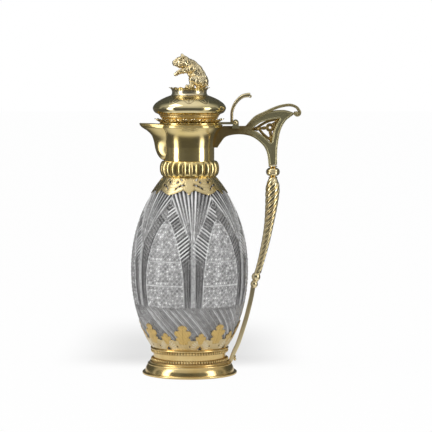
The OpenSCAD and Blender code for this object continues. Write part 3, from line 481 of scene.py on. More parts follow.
def cutting(angle, z):
    """Depth in mm of the cutting, how brightly its edges catch the light and how dark its sides look, at
    an angle (degrees, 0 facing the viewer, + towards the handle) and a height. The pattern of one sixth
    is repeated, and each zone is switched on inside its border."""
    angle, z = np.broadcast_arrays(angle, z)
    t = (angle - first_panel + panel_half) % (2 * panel_half) - panel_half
    mm = np.radians(1) * glass_at(z)
    across = t * mm
    u = np.clip((z - arch_foot) / (arch_top - arch_foot), 0, 1)
    outer = np.where(z < arch_foot, panel_half, panel_half * (1 - u) ** 0.65)
    v = np.clip((z - inner_foot) / (inner_top - inner_foot), 0, 1)
    inner = inner_half * (1 - v**2.2) ** 0.65
    from_inner, from_outer = (np.abs(t) - inner) * mm, (np.abs(t) - outer) * mm
    in_panel, in_fan = step(-from_inner, 0.2, 0.9), step(from_outer, 0.2, 0.9) * (z > arch_foot - 4)
    in_band = (1 - in_panel) * (1 - in_fan)
    # starred squares: rows and columns with both diagonals, a ring and a bright middle, and over them
    # small diamonds, whose points are bright, plain or dark by chance
    x, y = across / square, (z - first_row) / square
    from_middle = np.hypot(x % 1 - 0.5, y % 1 - 0.5) * square
    rows, columns = vee(saw(y) * square, 0.65), vee(saw(x) * square, 0.65)
    slants = np.maximum(vee(saw(x + y) * square * 0.7, 0.6), vee(saw(x - y) * square * 0.7, 0.6))
    ribs = vee(saw(y * 3) * square / 3, 1.0)
    middles = vee(from_middle, 1.5) * (0.3 + 0.9 * uneven(7 * np.floor(x) + 3 * np.floor(y)))
    fine_x, fine_y = 2.5 * (x + y), 2.5 * (x - y)
    fine = square * 0.28
    hatch = np.maximum(vee(saw(fine_x) * fine, 0.55), vee(saw(fine_y) * fine, 0.55))
    point = np.hypot(saw(fine_x + 0.5), saw(fine_y + 0.5)) * fine
    chance = uneven(5 * np.round(fine_x + 0.5) + 11 * np.round(fine_y + 0.5))
    points_on = 1.5 * vee(point, 1.3) * np.clip(3 * chance - 1.7, 0, 1)
    pits_on = 1.6 * vee(point, 1.5) * np.clip(1.3 - 3 * chance, 0, 1)
    stars_light = np.maximum.reduce([0.7 * rows, 0.5 * columns, 0.5 * slants, middles, points_on,
                                     0.28 + 0.3 * hatch])
    stars_dark = np.maximum(0.55 * vee(from_middle - 2.6, 0.9), pits_on)
    stars = np.maximum.reduce([rows, columns, 0.8 * slants, 0.7 * vee(from_middle - 2.3, 1.0), 0.7 * ribs])
    # ladder: steep rungs in the band between the two borders, which give way to fine pillars below
    rungs = (z - 0.85 * np.abs(across)) * 0.76 / rung
    side_light = 0.75 + 0.5 * np.sign(-t) * np.sign(np.sin(np.radians(angle)))
    high, lower = step(z, 110, 128), step(-z, -128, -110)
    ladder_light = vee(saw(rungs) * rung, 0.85) * (0.3 + 1.1 * uneven(rungs)) * side_light
    ladder_dark = 1.25 * vee((0.5 - saw(rungs)) * rung, 1.1) * (0.5 + 0.7 * uneven(rungs + 3))
    pillars = vee(saw(across / pillar) * pillar, 0.7)
    band_light = high * ladder_light + 0.35 * lower * pillars
    band_dark = high * ladder_dark + lower * (0.62 - 0.3 * pillars)
    # fan: flutes that spread like rays from the foot of the arches
    from_spine = (np.abs(t) - panel_half) * mm
    fan_turn = np.degrees(np.arctan2(-from_spine, z - arch_foot + 6)) / flute_turn
    flute = np.maximum(np.hypot(from_spine, z - arch_foot + 6) * np.radians(flute_turn), 0.5)
    ridge, fan_on = saw(fan_turn) * flute, step(z, arch_foot - 2, arch_foot + 8)
    fan_top = step(z, 158, 178)
    fan_chance = uneven(fan_turn + np.round(angle / 60) * 3)
    fan_light = vee(ridge, 0.7 + 0.9 * fan_top) * (0.4 + 0.9 * fan_chance) * fan_on
    fan_light = np.maximum(fan_light, 0.3 * fan_on * (1 - fan_top))
    fan_dark = (0.4 + 0.9 * fan_top) * vee(ridge - 0.42 * flute, 0.22 * flute) * fan_on
    # the borders and the spine between two panels stand out as plain polished lines
    spine = np.maximum(0.42 * step(from_spine, -2.9, -2.0), 0.9 * vee(from_spine - 0.6, 0.8))
    spine = spine * (z < arch_foot + 3)
    edge_light = np.maximum.reduce([1.1 * spine, 0.85 * vee(from_inner, 0.95) * (z < inner_top),
                                    0.7 * vee(from_outer, 0.95) * (z > arch_foot)])
    edge_dark = np.maximum.reduce([1.0 * vee(from_spine + 3.8, 1.0) * (z < arch_foot),
                                   0.75 * vee(from_inner - 1.8, 1.4) * (z < inner_top),
                                   0.6 * vee(from_outer + 1.7, 1.2) * (z > arch_foot)])
    light = np.maximum(in_panel * stars_light + in_band * band_light + in_fan * fan_light, edge_light)
    dark = np.maximum(in_panel * stars_dark + in_band * band_dark + in_fan * fan_dark, edge_dark)
    depth = in_panel * stars + in_band * 0.9 * np.maximum(high * ladder_dark, 0.5 * lower * pillars)
    depth = np.maximum(depth + in_fan * 1.3 * vee(flute / 2 - ridge, flute / 2), 0.9 * edge_dark)
    # slanting flutes, each a pair of bright edges with a smooth hollow beside it
    turn_mm = np.radians(1) * flute_r
    flute_pitch = 2 * np.pi * flute_r / flute_count
    phase = (angle * turn_mm + z * flute_slope) / flute_pitch
    pair = np.maximum(vee(saw(phase) * flute_pitch, 0.85), 0.8 * vee(saw(phase - 0.3) * flute_pitch, 0.8))
    slant_light = pair * (0.6 + 0.6 * uneven(phase)) * step(-z, -panel_z - 2, -panel_z + 4)
    slant_dark = 0.7 * vee(saw(phase - 0.15) * flute_pitch, 0.8)
    slant = 1.1 * (1 - 2 * saw(phase - 0.5)) * step(z, drum_top + 3, drum_top + 9)
    above = step(z, panel_z - 1, panel_z + 1.5)
    zones = ((depth, slant), (light, slant_light), (dark, slant_dark))
    return [np.clip(above * over + (1 - above) * under, 0, 1.4) for over, under in zones]


glass_columns = 456
bedding_top = low("glass_body")
outer_z = np.concatenate([[bedding_top], np.linspace(drum_top, shoulder_z, 182)])
turns = 360 * np.arange(glass_columns) / glass_columns
depth, light, shadow = cutting(turns[None, :], outer_z[1:, None])
shadow = shadow + 0.9 * step(-outer_z[1:, None], -drum_top - 11, -drum_top - 8)
depth = depth * step(-outer_z[1:, None], -shoulder_z, -shoulder_z + 8)
outer_r = glass_at(outer_z[1:, None]) - depth
floor_z, inner_end = bedding_top + 9, shoulder_z - 4
inner_z = np.concatenate([[shoulder_z + 4], np.linspace(inner_end, floor_z + 3, 22)])
glass_bore = glass_neck_r - 4.5
inner_r = np.concatenate([[glass_bore], glass_at(inner_z[1:]) - glass_wall])
glass_top = top("glass_body")


def hoop(radii, z):
    """Points round the axis at one or more heights: rows of (r sin a, -r cos a, z)."""
    a = np.radians(turns)
    radii = np.broadcast_to(np.asarray(radii, float), (np.size(z), glass_columns))
    heights = np.broadcast_to(np.reshape(z, (-1, 1)), radii.shape)
    return np.stack([radii * np.sin(a), -radii * np.cos(a), heights], -1)


glass_rows = [hoop(0, bedding_top), hoop(drum_r - 3.0, bedding_top), hoop(outer_r, outer_z[1:]),
              hoop(glass_neck_r, shoulder_z + 6), hoop(glass_neck_r, glass_top),
              hoop(glass_bore, glass_top), hoop(inner_r[:, None], inner_z),
              hoop(glass_at(floor_z) - glass_wall - 8, floor_z), hoop(0, floor_z)]
glass_grid = np.vstack(glass_rows)
marks = {}
for key, values in (("cut", depth), ("light", light), ("shadow", shadow)):
    marks[key] = np.zeros(glass_grid.shape[:2])
    marks[key][2 : 2 + len(values)] = values

# Clear crystal is mixed with a pale or dark ground, which stands for the many small reflections of
# deep cutting: over a third of it everywhere, and most of it on the cuts. The marks say how deep,
# bright or dark each place is.
crystal = bpy.data.materials.new("lead_crystal")
make = Maker(crystal)
place = make("TexCoord", output="Object")
cut_mark, light_mark, shadow_mark = (make("Attribute", {"attribute_name": key}, output="Fac")
                                     for key in marks)
ripple = make("TexNoise", None, {"Vector": place, "Scale": 500, "Detail": 2})
mottle = make("TexNoise", None, {"Vector": place, "Scale": 190, "Detail": 3})
tint = make.blend(cut_mark.ramp(0.2, 1.1), (0.96, 0.95, 0.94, 1), (0.86, 0.85, 0.85, 1))
relief = light_mark * 0.5 - shadow_mark * 0.5 + ripple * 0.25
bump = make("Bump", None, {"Strength": 0.6, "Distance": MM, "Height": relief}, "Normal")
soft_bump = make("Bump", None, {"Strength": 0.25, "Distance": MM, "Height": ripple * 0.2}, "Normal")
clear = make("BsdfPrincipled", None,
             {"Base Color": tint, "Roughness": 0.03 + 0.05 * ripple, "IOR": 1.54,
              "Transmission Weight": 1.0, "Normal": soft_bump})
ground = make.blend(mottle.ramp(0.3, 0.7), (0.26, 0.255, 0.25, 1), (0.52, 0.51, 0.505, 1))
ground = make.blend((shadow_mark * (0.7 + 0.6 * mottle)).ramp(0, 1.0), ground, (0.03, 0.029, 0.032, 1))
ground = make.blend((light_mark * (0.4 + 1.1 * ripple)).ramp(0.05, 0.85), ground, (0.98, 0.98, 0.98, 1))
facets = make("BsdfPrincipled", None,
              {"Base Color": ground, "Roughness": 0.12, "IOR": 1.6, "Coat Weight": 0.6,
               "Coat Roughness": 0.05, "Normal": bump})
cut_share = 0.38 + 0.5 * light_mark.most(shadow_mark).ramp(0.1, 0.9)
faced = make("MixShader", None, {0: cut_share, 1: clear, 2: facets})
make("OutputMaterial", None, {"Surface": faced})
body_glass = piece("cut_glass_body", [(glass_grid, grid_faces(len(glass_grid), glass_columns, False, True))],
                   smooth=12, **marks)
dress(body_glass, "jug", "cut_glass", crystal, "glass_body")


# ---------------------------------------------------------------- base leaf mount
# A collar of lobed leaves, sawn from sheet, engraved and burnished close to the glass. Large and
# small leaves take turns. Under each small one is a pierced hole with rays cut round it, painted
# near white as glints, and two drilled dots stand under each large one.
def inside(x, y, outline):
    """Distance of points to a closed outline, positive inside: the nearest of its straight sides, and a
    count of the sides that a ray to the right crosses."""
    p = np.asarray(outline, float)
    q = np.roll(p, -1, 0)
    x, y = np.asarray(x, float)[..., None], np.asarray(y, float)[..., None]
    dx, dy = q[:, 0] - p[:, 0], q[:, 1] - p[:, 1]
    t = np.clip(((x - p[:, 0]) * dx + (y - p[:, 1]) * dy) / np.maximum(dx**2 + dy**2, 1e-9), 0, 1)
    gap = np.sqrt((x - p[:, 0] - t * dx) ** 2 + (y - p[:, 1] - t * dy) ** 2).min(-1)
    spans = (p[:, 1] > y) != (q[:, 1] > y)
    cut_x = p[:, 0] + (y - p[:, 1]) * dx / np.where(dy == 0, 1e-9, dy)
    odd = (spans & (x < cut_x)).sum(-1) % 2 == 1
    return np.where(odd, gap, -gap)


def both_sides(half):
    """An outline from its right half, mirrored in x = 0."""
    half = np.asarray(half, float)
    return np.vstack([half, half[::-1] * [-1, 1]])


def cut_sheet(across, up, metal, place, thick, rounding=0.5):
    """Sheet metal sawn to shape. across and up are the grid's coordinates in mm, metal the distance
    inside the outline, place(across, up, lift) its points. Border points slide onto the outline, the
    edge is eased over rounding, and side walls join the front to the back. It also returns the grid
    point that each point comes from."""
    rows, columns = across.shape
    quads = grid_faces(rows, columns, False, True)
    kept = quads[metal.ravel()[quads].mean(1) > 0]
    slope_up, slope_across = np.gradient(metal)
    pace_up, pace_across = np.gradient(up)[0], np.gradient(across)[1]
    slope_up, slope_across = slope_up / pace_up, slope_across / pace_across
    steep = np.maximum(slope_up**2 + slope_across**2, 0.25)
    used = np.zeros(rows * columns)
    np.add.at(used, kept.ravel(), 1)
    border = ((used > 0) & (used < 4)).reshape(rows, columns)
    inner_rows = np.zeros_like(border)
    inner_rows[1:-1] = True
    near_edge = border & (inner_rows | (metal < 0.6))
    slide = np.where(near_edge, np.clip(metal, -0.6, 0.6) / steep, 0)
    across2, up2 = across - slide * slope_across, np.clip(up - slide * slope_up, up.min(), up.max())
    ease = 1 - 0.45 * np.clip(1 - np.maximum(metal, 0) / rounding, 0, 1) ** 2
    front = place(across2, up2, thick * ease).reshape(-1, 3)
    back = place(across2, up2, 0 * ease).reshape(-1, 3)
    edges = np.vstack([kept[:, [i, (i + 1) % 4]] for i in range(4)])
    keys = np.sort(edges, 1) @ [rows * columns, 1]
    _, first, count = np.unique(keys, return_index=True, return_counts=True)
    rim = edges[first[count == 1]]
    size = rows * columns
    walls = np.stack([rim[:, 1], rim[:, 0], rim[:, 0] + size, rim[:, 1] + size], -1)
    faces = np.vstack([kept, kept[:, ::-1] + size, walls])
    wanted, faces = np.unique(faces, return_inverse=True)
    return np.vstack([front, back])[wanted], faces.reshape(-1, 4), wanted % size


hug = 0.1


def on_glass(across, up, lift):
    """A point of a sheet on the glass: across is arc length at leaf_r, up is height, lift is outward."""
    a, r = across / leaf_r, glass_at(up) + hug + lift
    return np.stack([r * np.sin(a), -r * np.cos(a), up], -1)


leaf_r, leaf_sheet, leaf_root = 42.0, 0.9, drum_top
big_leaf = [(0, 54), (2.6, 53.2), (4.0, 51.2), (3.4, 49.2), (2.9, 48.2), (5.5, 48.4), (7.3, 46.4),
            (7.1, 43.9), (5.6, 42.2), (4.9, 41.2), (6.6, 40.4), (6.6, 38.4), (4.6, 37.0), (3.9, 34)]
small_leaf = [(0, 45.6), (1.9, 44.6), (2.6, 43.2), (2.2, 42.4), (4.4, 42.3), (5.0, 40.4), (4.4, 38.6),
              (3.0, 37.4), (3.2, 34)]
leaf_period, big_place, small_place = 2 * np.pi * leaf_r / 8, -7.5, 15.0
leaf_columns, leaf_rows = 576, 62
leaf_up, leaf_across = np.meshgrid(np.linspace(leaf_root, 54.2, leaf_rows),
                                   2 * np.pi * leaf_r * np.arange(leaf_columns) / leaf_columns, indexing="ij")


def off_place(across, degrees):
    """Signed arc length to the nearest of the eight places at degrees + 45k."""
    s = (across - np.radians(degrees) * leaf_r) / leaf_period
    return (s - np.round(s)) * leaf_period


big_x, small_x = off_place(leaf_across, big_place), off_place(leaf_across, small_place)
big_shape = inside(big_x, leaf_up, spline(both_sides(big_leaf)[:-1], 4))
small_shape = inside(small_x, leaf_up, spline(both_sides(small_leaf)[:-1], 4))
band_top = 38.2 + 0.4 * np.cos(leaf_across * 2 * np.pi / leaf_period * 4)
leaf_metal = np.maximum.reduce([big_shape, small_shape, band_top - leaf_up])
over_sill = leaf_up - 28.4
pierced = np.abs(small_x) / 2.7 + np.where(over_sill > 0, over_sill / 3.2, -over_sill / 0.5)
dots = np.hypot(np.abs(big_x) - 6.2, leaf_up - 31.6) / 0.7
leaf_metal = np.minimum.reduce([leaf_metal, (pierced - 1) * 1.9, (dots - 1) * 0.75])


def stroke(distance, width):
    """An engraved line: 1 on it, 0 beyond width, smooth between."""
    return step(-np.abs(distance), -width, 0)


ray_angle = np.degrees(np.arctan2(np.abs(small_x), leaf_up - 29.0))
ray_reach = np.hypot(small_x, leaf_up - 29.0)
# Painted glints: rays cut round each hole, coloured near white in the gilding.
glinting_rays = stroke(ray_angle % 16 - 8, 4.6) * step(ray_reach, 4.0, 4.8) * step(-ray_reach, -9.6, -8.8)
glinting_rays = glinting_rays * step(ray_angle, 18, 26) * (np.abs(small_x) < 10)
veins = stroke(big_x, 0.45) * step(leaf_up, 31, 34)
veins = np.maximum(veins, stroke((leaf_up - np.abs(big_x) * 0.9) % 3.1 - 1.55, 0.4) * (big_shape > 0.4))
veins = np.maximum(veins, stroke((leaf_up - np.abs(small_x) * 1.1) % 2.6 - 1.3, 0.4) * (small_shape > 0.4))
edges_cut = stroke(np.minimum(np.abs(big_shape - 0.7), np.abs(small_shape - 0.7)), 0.4)
leaf_cuts = np.maximum(0.7 * veins, 0.8 * edges_cut)
leaf_gold = np.maximum(step(big_shape, 0.0, 0.5), step(small_shape, 0.0, 0.5))


def engraved_place(cuts, depth):
    """on_glass with the cuts pressed in."""
    return lambda across, up, lift: on_glass(across, up, lift - depth * cuts * (lift > 0))


cut_depth = 0.25
points, faces, source = cut_sheet(leaf_across, leaf_up, leaf_metal, engraved_place(leaf_cuts, cut_depth),
                                  leaf_sheet)
leaf_mount = piece("engraved_leaf_mount", [(points, faces)], 35, groove=leaf_cuts.ravel()[source],
                   gold=leaf_gold.ravel()[source], bright=glinting_rays.ravel()[source])


# The last colour is a painted glint for the engraved rays.
hatch_scale, hatch_shade, cut_glint_white = 250, (0.30, 0.20, 0.07, 1), (1.0, 0.94, 0.78, 1)


def engraved(name, colour, deep):
    """Engraved gilding: the plain gilding under fine hatching, two sets of close parallel lines whose
    strength drifts, so the ground looks matt beside the polished edges. The mark "bright" is a cut that
    the graver left shining, painted near white as a glint."""
    material = gilt(name, colour, deep, 0.2, 0.2, 0.1)
    make = Maker(material, fresh=False)
    metal = next(node for node in make.tree.nodes if node.type == "BSDF_PRINCIPLED")
    place = make("TexCoord", output="Object")
    slanted, level = (make("TexWave", {"bands_direction": way},
                           {"Vector": place, "Scale": hatch_scale, "Distortion": 1.5, "Detail": 1,
                            "Detail Scale": 2.0}, output="Fac") for way in ("DIAGONAL", "Z"))
    hatch = slanted.ramp(0.62, 0.9).most(level.ramp(0.7, 0.95) * 0.6)
    gilding = Field(metal.inputs["Base Color"].links[0].from_socket)
    bright = make("Attribute", {"attribute_name": "bright"}, output="Fac")
    tone = make.blend(hatch * 0.2, gilding, hatch_shade)
    plug(metal.inputs["Base Color"], make.blend(bright, tone, cut_glint_white))
    return material


gilt_engraved = engraved("gilt_engraved", (0.90, 0.75, 0.42), (0.84, 0.64, 0.30))
gilt_leaves = engraved("gilt_leaves", (0.80, 0.64, 0.36), (0.70, 0.54, 0.27))
dress(leaf_mount, "jug", "engraved_gilt", gilt_leaves, "base_leaf_mount")


# ---------------------------------------------------------------- shoulder skirt
# The skirt hangs from the gadrooned ring over the shoulder: hatched tongues alternate with broad
# leaves, which are pierced by slits and drops and engraved along their edges.
skirt_r, skirt_count = 31.0, 6
skirt_columns, skirt_rows = 540, 56
skirt_low, skirt_top = shoulder_z - 17.5, shoulder_z
skirt_edge = [(0, 181.2), (1.6, 182.0), (4.6, 184.0), (6.4, 184.9), (9.8, 185.4), (13, 184.6),
              (18, 183.2), (23, 182.0), (27, 181.2), (30, 180.9)]
skirt_up, skirt_turn = np.meshgrid(np.linspace(skirt_low, skirt_top, skirt_rows),
                                   2 * np.pi * np.arange(skirt_columns) / skirt_columns, indexing="ij")
skirt_period = 360 / skirt_count
turned = np.degrees(skirt_turn) % skirt_period
half_turn = np.minimum(turned, skirt_period - turned)
skirt_hem = spline(skirt_edge, 6)
skirt_metal = (skirt_up - np.interp(half_turn, skirt_hem[:, 0], skirt_hem[:, 1])) * 0.85
skirt_x = np.radians(half_turn) * glass_at(skirt_up)


def capsule(x, y, a, b, radius):
    """Distance outside a bar with round ends from a to b."""
    ax, ay, dx, dy = x - a[0], y - a[1], b[0] - a[0], b[1] - a[1]
    t = np.clip((ax * dx + ay * dy) / (dx * dx + dy * dy), 0, 1)
    return np.hypot(ax - t * dx, ay - t * dy) - radius


slit = capsule(skirt_x, skirt_up + 0.035 * (skirt_x - 9) ** 2, (4.6, 191.2), (13.6, 187.4), 0.62)
drops = [capsule(skirt_x, skirt_up, (7.6, 196.0), (6.9, 195.0), 0.85),
         capsule(skirt_x, skirt_up, (11.6, 192.6), (10.6, 193.4), 0.9)]
skirt_metal = np.minimum.reduce([skirt_metal, slit, *drops])
tongue = 5.6 - skirt_x - 0.3 * np.abs(skirt_up - 188)
skirt_cuts = stroke(skirt_metal - 0.8, 0.4) * 0.8
skirt_cuts = np.maximum(skirt_cuts, stroke(tongue, 0.45))
curls = stroke((np.hypot(skirt_x - 17, skirt_up - 197) - 5.2) % 2.6 - 1.3, 0.42)
curls = curls * (half_turn > 19) * (skirt_up > 184)
skirt_cuts = np.maximum(skirt_cuts, 0.75 * curls)
hatched = 0.55 * stroke((skirt_x + skirt_up) % 1.3 - 0.65, 0.4) * (tongue > 0.4)
skirt_cuts = np.maximum(skirt_cuts, hatched)


def on_shoulder(across, up, lift):
    """As on_glass, with the arc length taken at skirt_r and the engraving pressed in."""
    a, r = across / skirt_r, glass_at(up) + hug + lift - cut_depth * skirt_cuts * (lift > 0)
    return np.stack([r * np.sin(a), -r * np.cos(a), up], -1)


points, faces, source = cut_sheet(skirt_turn * skirt_r, skirt_up, skirt_metal, on_shoulder, leaf_sheet)
skirt = piece("pierced_shoulder_skirt", [(points, faces)], 35, groove=skirt_cuts.ravel()[source])
dress(skirt, "jug", "engraved_gilt", gilt_engraved, "shoulder_skirt")


# ---------------------------------------------------------------- gadroon ring
# Cast and chased: upright lobes parted by sharp grooves, which old polish has darkened.
gadroon_top, gadroon_r = top("gadroon_ring"), wide("gadroon_ring")
gadroon_h, gadroon_end, lobes, lobe_turn = gadroon_top - shoulder_z, 26.2, 24, 3.8
collar_r, shoulder_r = 24.8, 25.2


def lobed_ring(columns=24 * 14, rows=30):
    """The ring's side is a half ellipse; over it each lobe rises as |sin|^0.62 of 12 times the angle."""
    a = 2 * np.pi * np.arange(columns) / columns
    t = -np.cos(np.linspace(0, np.pi, rows))[:, None]
    swell = np.sqrt(1 - t * t)
    lobe = np.abs(np.sin(lobes / 2 * (a - math.radians(lobe_turn)))) ** 0.62
    r = gadroon_end + (gadroon_r - gadroon_end) * swell * (0.3 + 0.7 * lobe)
    z = shoulder_z + gadroon_h / 2 * (1 + t) + 0 * a
    bore = collar_r - 2.2
    ends = [(bore, shoulder_z + 5), (shoulder_r + hug, shoulder_z)]
    below = [np.stack([0 * a + r0, 0 * a + z0]) for r0, z0 in ends]
    above = [np.stack([0 * a + bore, 0 * a + gadroon_top])]
    ringed = np.concatenate([below, np.stack([r, z], 1), above])
    dark = np.zeros((len(ringed), columns))
    dark[2:-1] = swell * (1 - lobe) ** 1.1 * (1.6 - 0.5 * t)
    points = np.stack([ringed[:, 0] * np.sin(a), -ringed[:, 0] * np.cos(a), ringed[:, 1]], -1)
    return points, grid_faces(len(ringed), columns, True, True), dark


gilt_neck = gilt("gilt_neck", (0.93, 0.75, 0.36), (0.87, 0.68, 0.28), 0.14, 0.10, 0.02)
points, faces, dark = lobed_ring()
gadroons = piece("chased_gadroon_ring", [(points, faces)], 60, groove=dark)
dress(gadroons, "jug", "pale_gilt", gilt_neck, "gadroon_ring")


# ---------------------------------------------------------------- neck collar
# Spun from sheet, straight and then flaring, and polished like a mirror. Behind the spout it is
# cut open for the wine.
collar_h, collar_rim_r = top("neck_collar") - gadroon_top, wide("neck_collar")
rim_z, flare = top("neck_collar"), collar_rim_r - collar_r
collar_foot = [(collar_r, gadroon_top + 2.4 * k) for k in range(6)]
collar_flare = spline([(collar_r, rim_z - 19.4), (collar_r + 0.17 * flare, rim_z - 11.4),
                       (collar_r + 0.47 * flare, rim_z - 5.4), (collar_rim_r, rim_z)], 14)
collar_line = np.vstack([collar_foot, collar_flare])


def collar_at(z):
    """Outer radius of the collar at a height."""
    return np.interp(z, collar_line[:, 1], collar_line[:, 0])


collar_up, collar_turn = np.meshgrid(np.concatenate([np.linspace(gadroon_top, glass_top, 8)[:-1],
                                                     np.linspace(glass_top, rim_z, 48)]),
                                     2 * np.pi * np.arange(360) / 360, indexing="ij")
window = [(-6, glass_top + 3), (6, glass_top + 3), (12, rim_z - 7), (17, rim_z + 1), (-17, rim_z + 1),
          (-12, rim_z - 7)]
from_spout = (collar_turn - 1.5 * np.pi + np.pi) % (2 * np.pi) - np.pi
open_shape = inside(np.sin(np.clip(from_spout, -1.5, 1.5)) * collar_at(collar_up), collar_up, window)
collar_metal = np.where(np.abs(from_spout) < 1.2, -open_shape, 5)


def on_collar(across, up, lift):
    """A point of the collar's wall: across is arc length at collar_r, and lift runs out from its inside."""
    a, r = across / collar_r, collar_at(up) - sheet + lift
    return np.stack([r * np.sin(a), -r * np.cos(a), up], -1)


points, faces, _ = cut_sheet(collar_turn * collar_r, collar_up, collar_metal, on_collar, sheet, 0.01)
dress(piece("spun_neck_collar", [(points, faces)], 40), "jug", "gilt", gilt_neck, "neck_collar")


# ---------------------------------------------------------------- spout
# A beak raised from sheet and soldered over the opening. A round wire runs along its lip and a
# finer one covers the seam.
rim_top = top("neck_rim")
spout_half, spout_reach = 0.648 * collar_rim_r, -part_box("spout")[0].x / MM
beak_h = collar_h + rim_top - rim_z
beak = spline([(0.038, 0, 0.008), (0.26, 0.137, 0.053), (0.387, 0.266, 0.167), (0.425, 0.359, 0.334),
               (0.51, 0.415, 0.535), (0.689, 0.504, 0.702), (0.873, 0.673, 0.825), (0.981, 0.903, 0.93),
               (1, 1, 1.028)], 7)


def beak_surface(inset, columns=61):
    """Each level is a rounded V: its ends lie in the collar's wall, and its nose reaches out as
    1 - |side|^p, with p from 2.3 at the foot to 1.55 at the lip."""
    level = np.linspace(0, 1, len(beak))[:, None]
    side = np.linspace(-1, 1, columns)[None, :]
    half = np.maximum(spout_half * beak[:, :1] - inset, 0.1 + 0.1 * (1.1 - inset))
    reach = collar_r + 0.4 + (spout_reach - collar_r - 0.4) * beak[:, 1:2] - inset
    nose_z = gadroon_top + beak_h * beak[:, 2:]
    z = nose_z - 1.3 * level
    wall = np.sqrt(np.maximum((collar_at(z) - 0.6) ** 2 - half**2, 1))
    nose = 1 - np.abs(side) ** (2.3 - 0.75 * level)
    return np.stack([-wall - (reach - wall) * nose, half * side, z + (nose_z - z) * nose], -1)


def shell_between(outer, inner):
    """A closed wall between two grids of the same size: both faces and the four edges."""
    rows, columns = outer.shape[:2]
    size = rows * columns
    skin = grid_faces(rows, columns, False, False)
    loop = np.concatenate([np.arange(columns), np.arange(1, rows) * columns + columns - 1,
                           (rows - 1) * columns + np.arange(columns - 2, -1, -1),
                           np.arange(rows - 2, 0, -1) * columns])
    ahead = np.roll(loop, -1)
    walls = np.stack([ahead, loop, loop + size, ahead + size], -1)
    points = np.vstack([outer.reshape(-1, 3), inner.reshape(-1, 3)])
    return points, np.vstack([skin, skin[:, ::-1] + size, walls])


def tube(path, radius, sides=10, closed=False):
    """A wire along a path: rings square to it, kept upright by the direction that turns least."""
    path = np.asarray(path, float)
    radius = np.broadcast_to(np.reshape(radius, (-1, 1, 1)), (len(path), 1, 1))
    ahead = np.roll(path, -1, 0) - np.roll(path, 1, 0) if closed else np.gradient(path, axis=0)
    ahead /= np.linalg.norm(ahead, axis=1, keepdims=True)
    spare = np.array([0.0, 1.0, 0.0]) if np.abs(ahead[:, 1]).max() < 0.9 else np.array([0.1, 0.05, 1.0])
    u = np.cross(ahead, spare)
    u /= np.linalg.norm(u, axis=1, keepdims=True)
    v = np.cross(ahead, u)
    s = 2 * np.pi * np.arange(sides)[None, :, None] / sides
    rings = path[:, None] + radius * (np.cos(s) * u[:, None] + np.sin(s) * v[:, None])
    if closed:
        return rings, grid_faces(len(path), sides, True, True)
    ends = np.stack([np.repeat(path[:1], sides, 0), np.repeat(path[-1:], sides, 0)])
    return np.concatenate([ends[:1], rings, ends[1:]]), grid_faces(len(path) + 2, sides, False, True)


outer_beak, inner_beak = beak_surface(0), beak_surface(1.1)
lip_line = outer_beak[-1] + (inner_beak[-1] - outer_beak[-1]) * 0.55
lip_line = lip_line + [0.35, 0, -0.2]
under_lip = outer_beak[-5] * 0.5 + outer_beak[-4] * 0.5
seams = [tube(outer_beak[3:-1, side] + [-0.2, 0.15 * sign, 0], 0.5) for side, sign in ((0, -1), (-1, 1))]
beak_parts = [shell_between(outer_beak, inner_beak), tube(lip_line, 0.9),
              tube(under_lip + [0.25, 0, 0], 0.5), *seams]
dress(piece("raised_beak_spout", beak_parts, 50), "jug", "gilt", gilt_neck, "spout")


# ---------------------------------------------------------------- neck rim
# A drawn ring with two reeds, which stiffens the collar's edge and takes the lid.
reed_r, seat_r = 0.27 * (rim_top - rim_z), collar_rim_r - 4.1
rim_side = [(seat_r, rim_z), (collar_rim_r - 0.5, rim_z)]
for centre in (rim_z + reed_r, rim_top - reed_r):
    a = np.radians(np.linspace(-80, 80, 9))
    rim_side += list(zip(collar_rim_r - 0.3 + reed_r * np.cos(a), centre + reed_r * np.sin(a)))
rim_side += [(collar_rim_r - 0.6, rim_top), (seat_r + 0.4, rim_top), (seat_r, rim_top - 0.4)]
reeded_rim = piece("reeded_neck_rim", [lathe(rim_side, 192)], 50)
dress(reeded_rim, "jug", "gilt", gilt_neck, "neck_rim")


# ---------------------------------------------------------------- handle bracket
# A flat scroll plate, sawn from the solid and filed round at its edges. It is soldered to the
# collar, and fine reeds run along its outlines on both sides.
shaft_x = (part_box("handle_knop")[0].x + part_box("handle_knop")[1].x) / 2 / MM
arm_top, shaft_z, shaft_w = low("hinge_pin") - 2.2 + 0.6, low("handle_bracket"), 8.4
bracket_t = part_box("handle_bracket")[1].y / MM * 2
span_share, drop_share = (shaft_x - collar_rim_r) / 50.6, (rim_top - shaft_z) / 40.9


def near(x, z):
    """A place on the bracket measured from the neck's rim."""
    return collar_rim_r + x * span_share, arm_top + z * drop_share


def far(x, z):
    """A place on the bracket measured from the axis of the shaft."""
    return shaft_x + x * span_share, arm_top + z * drop_share


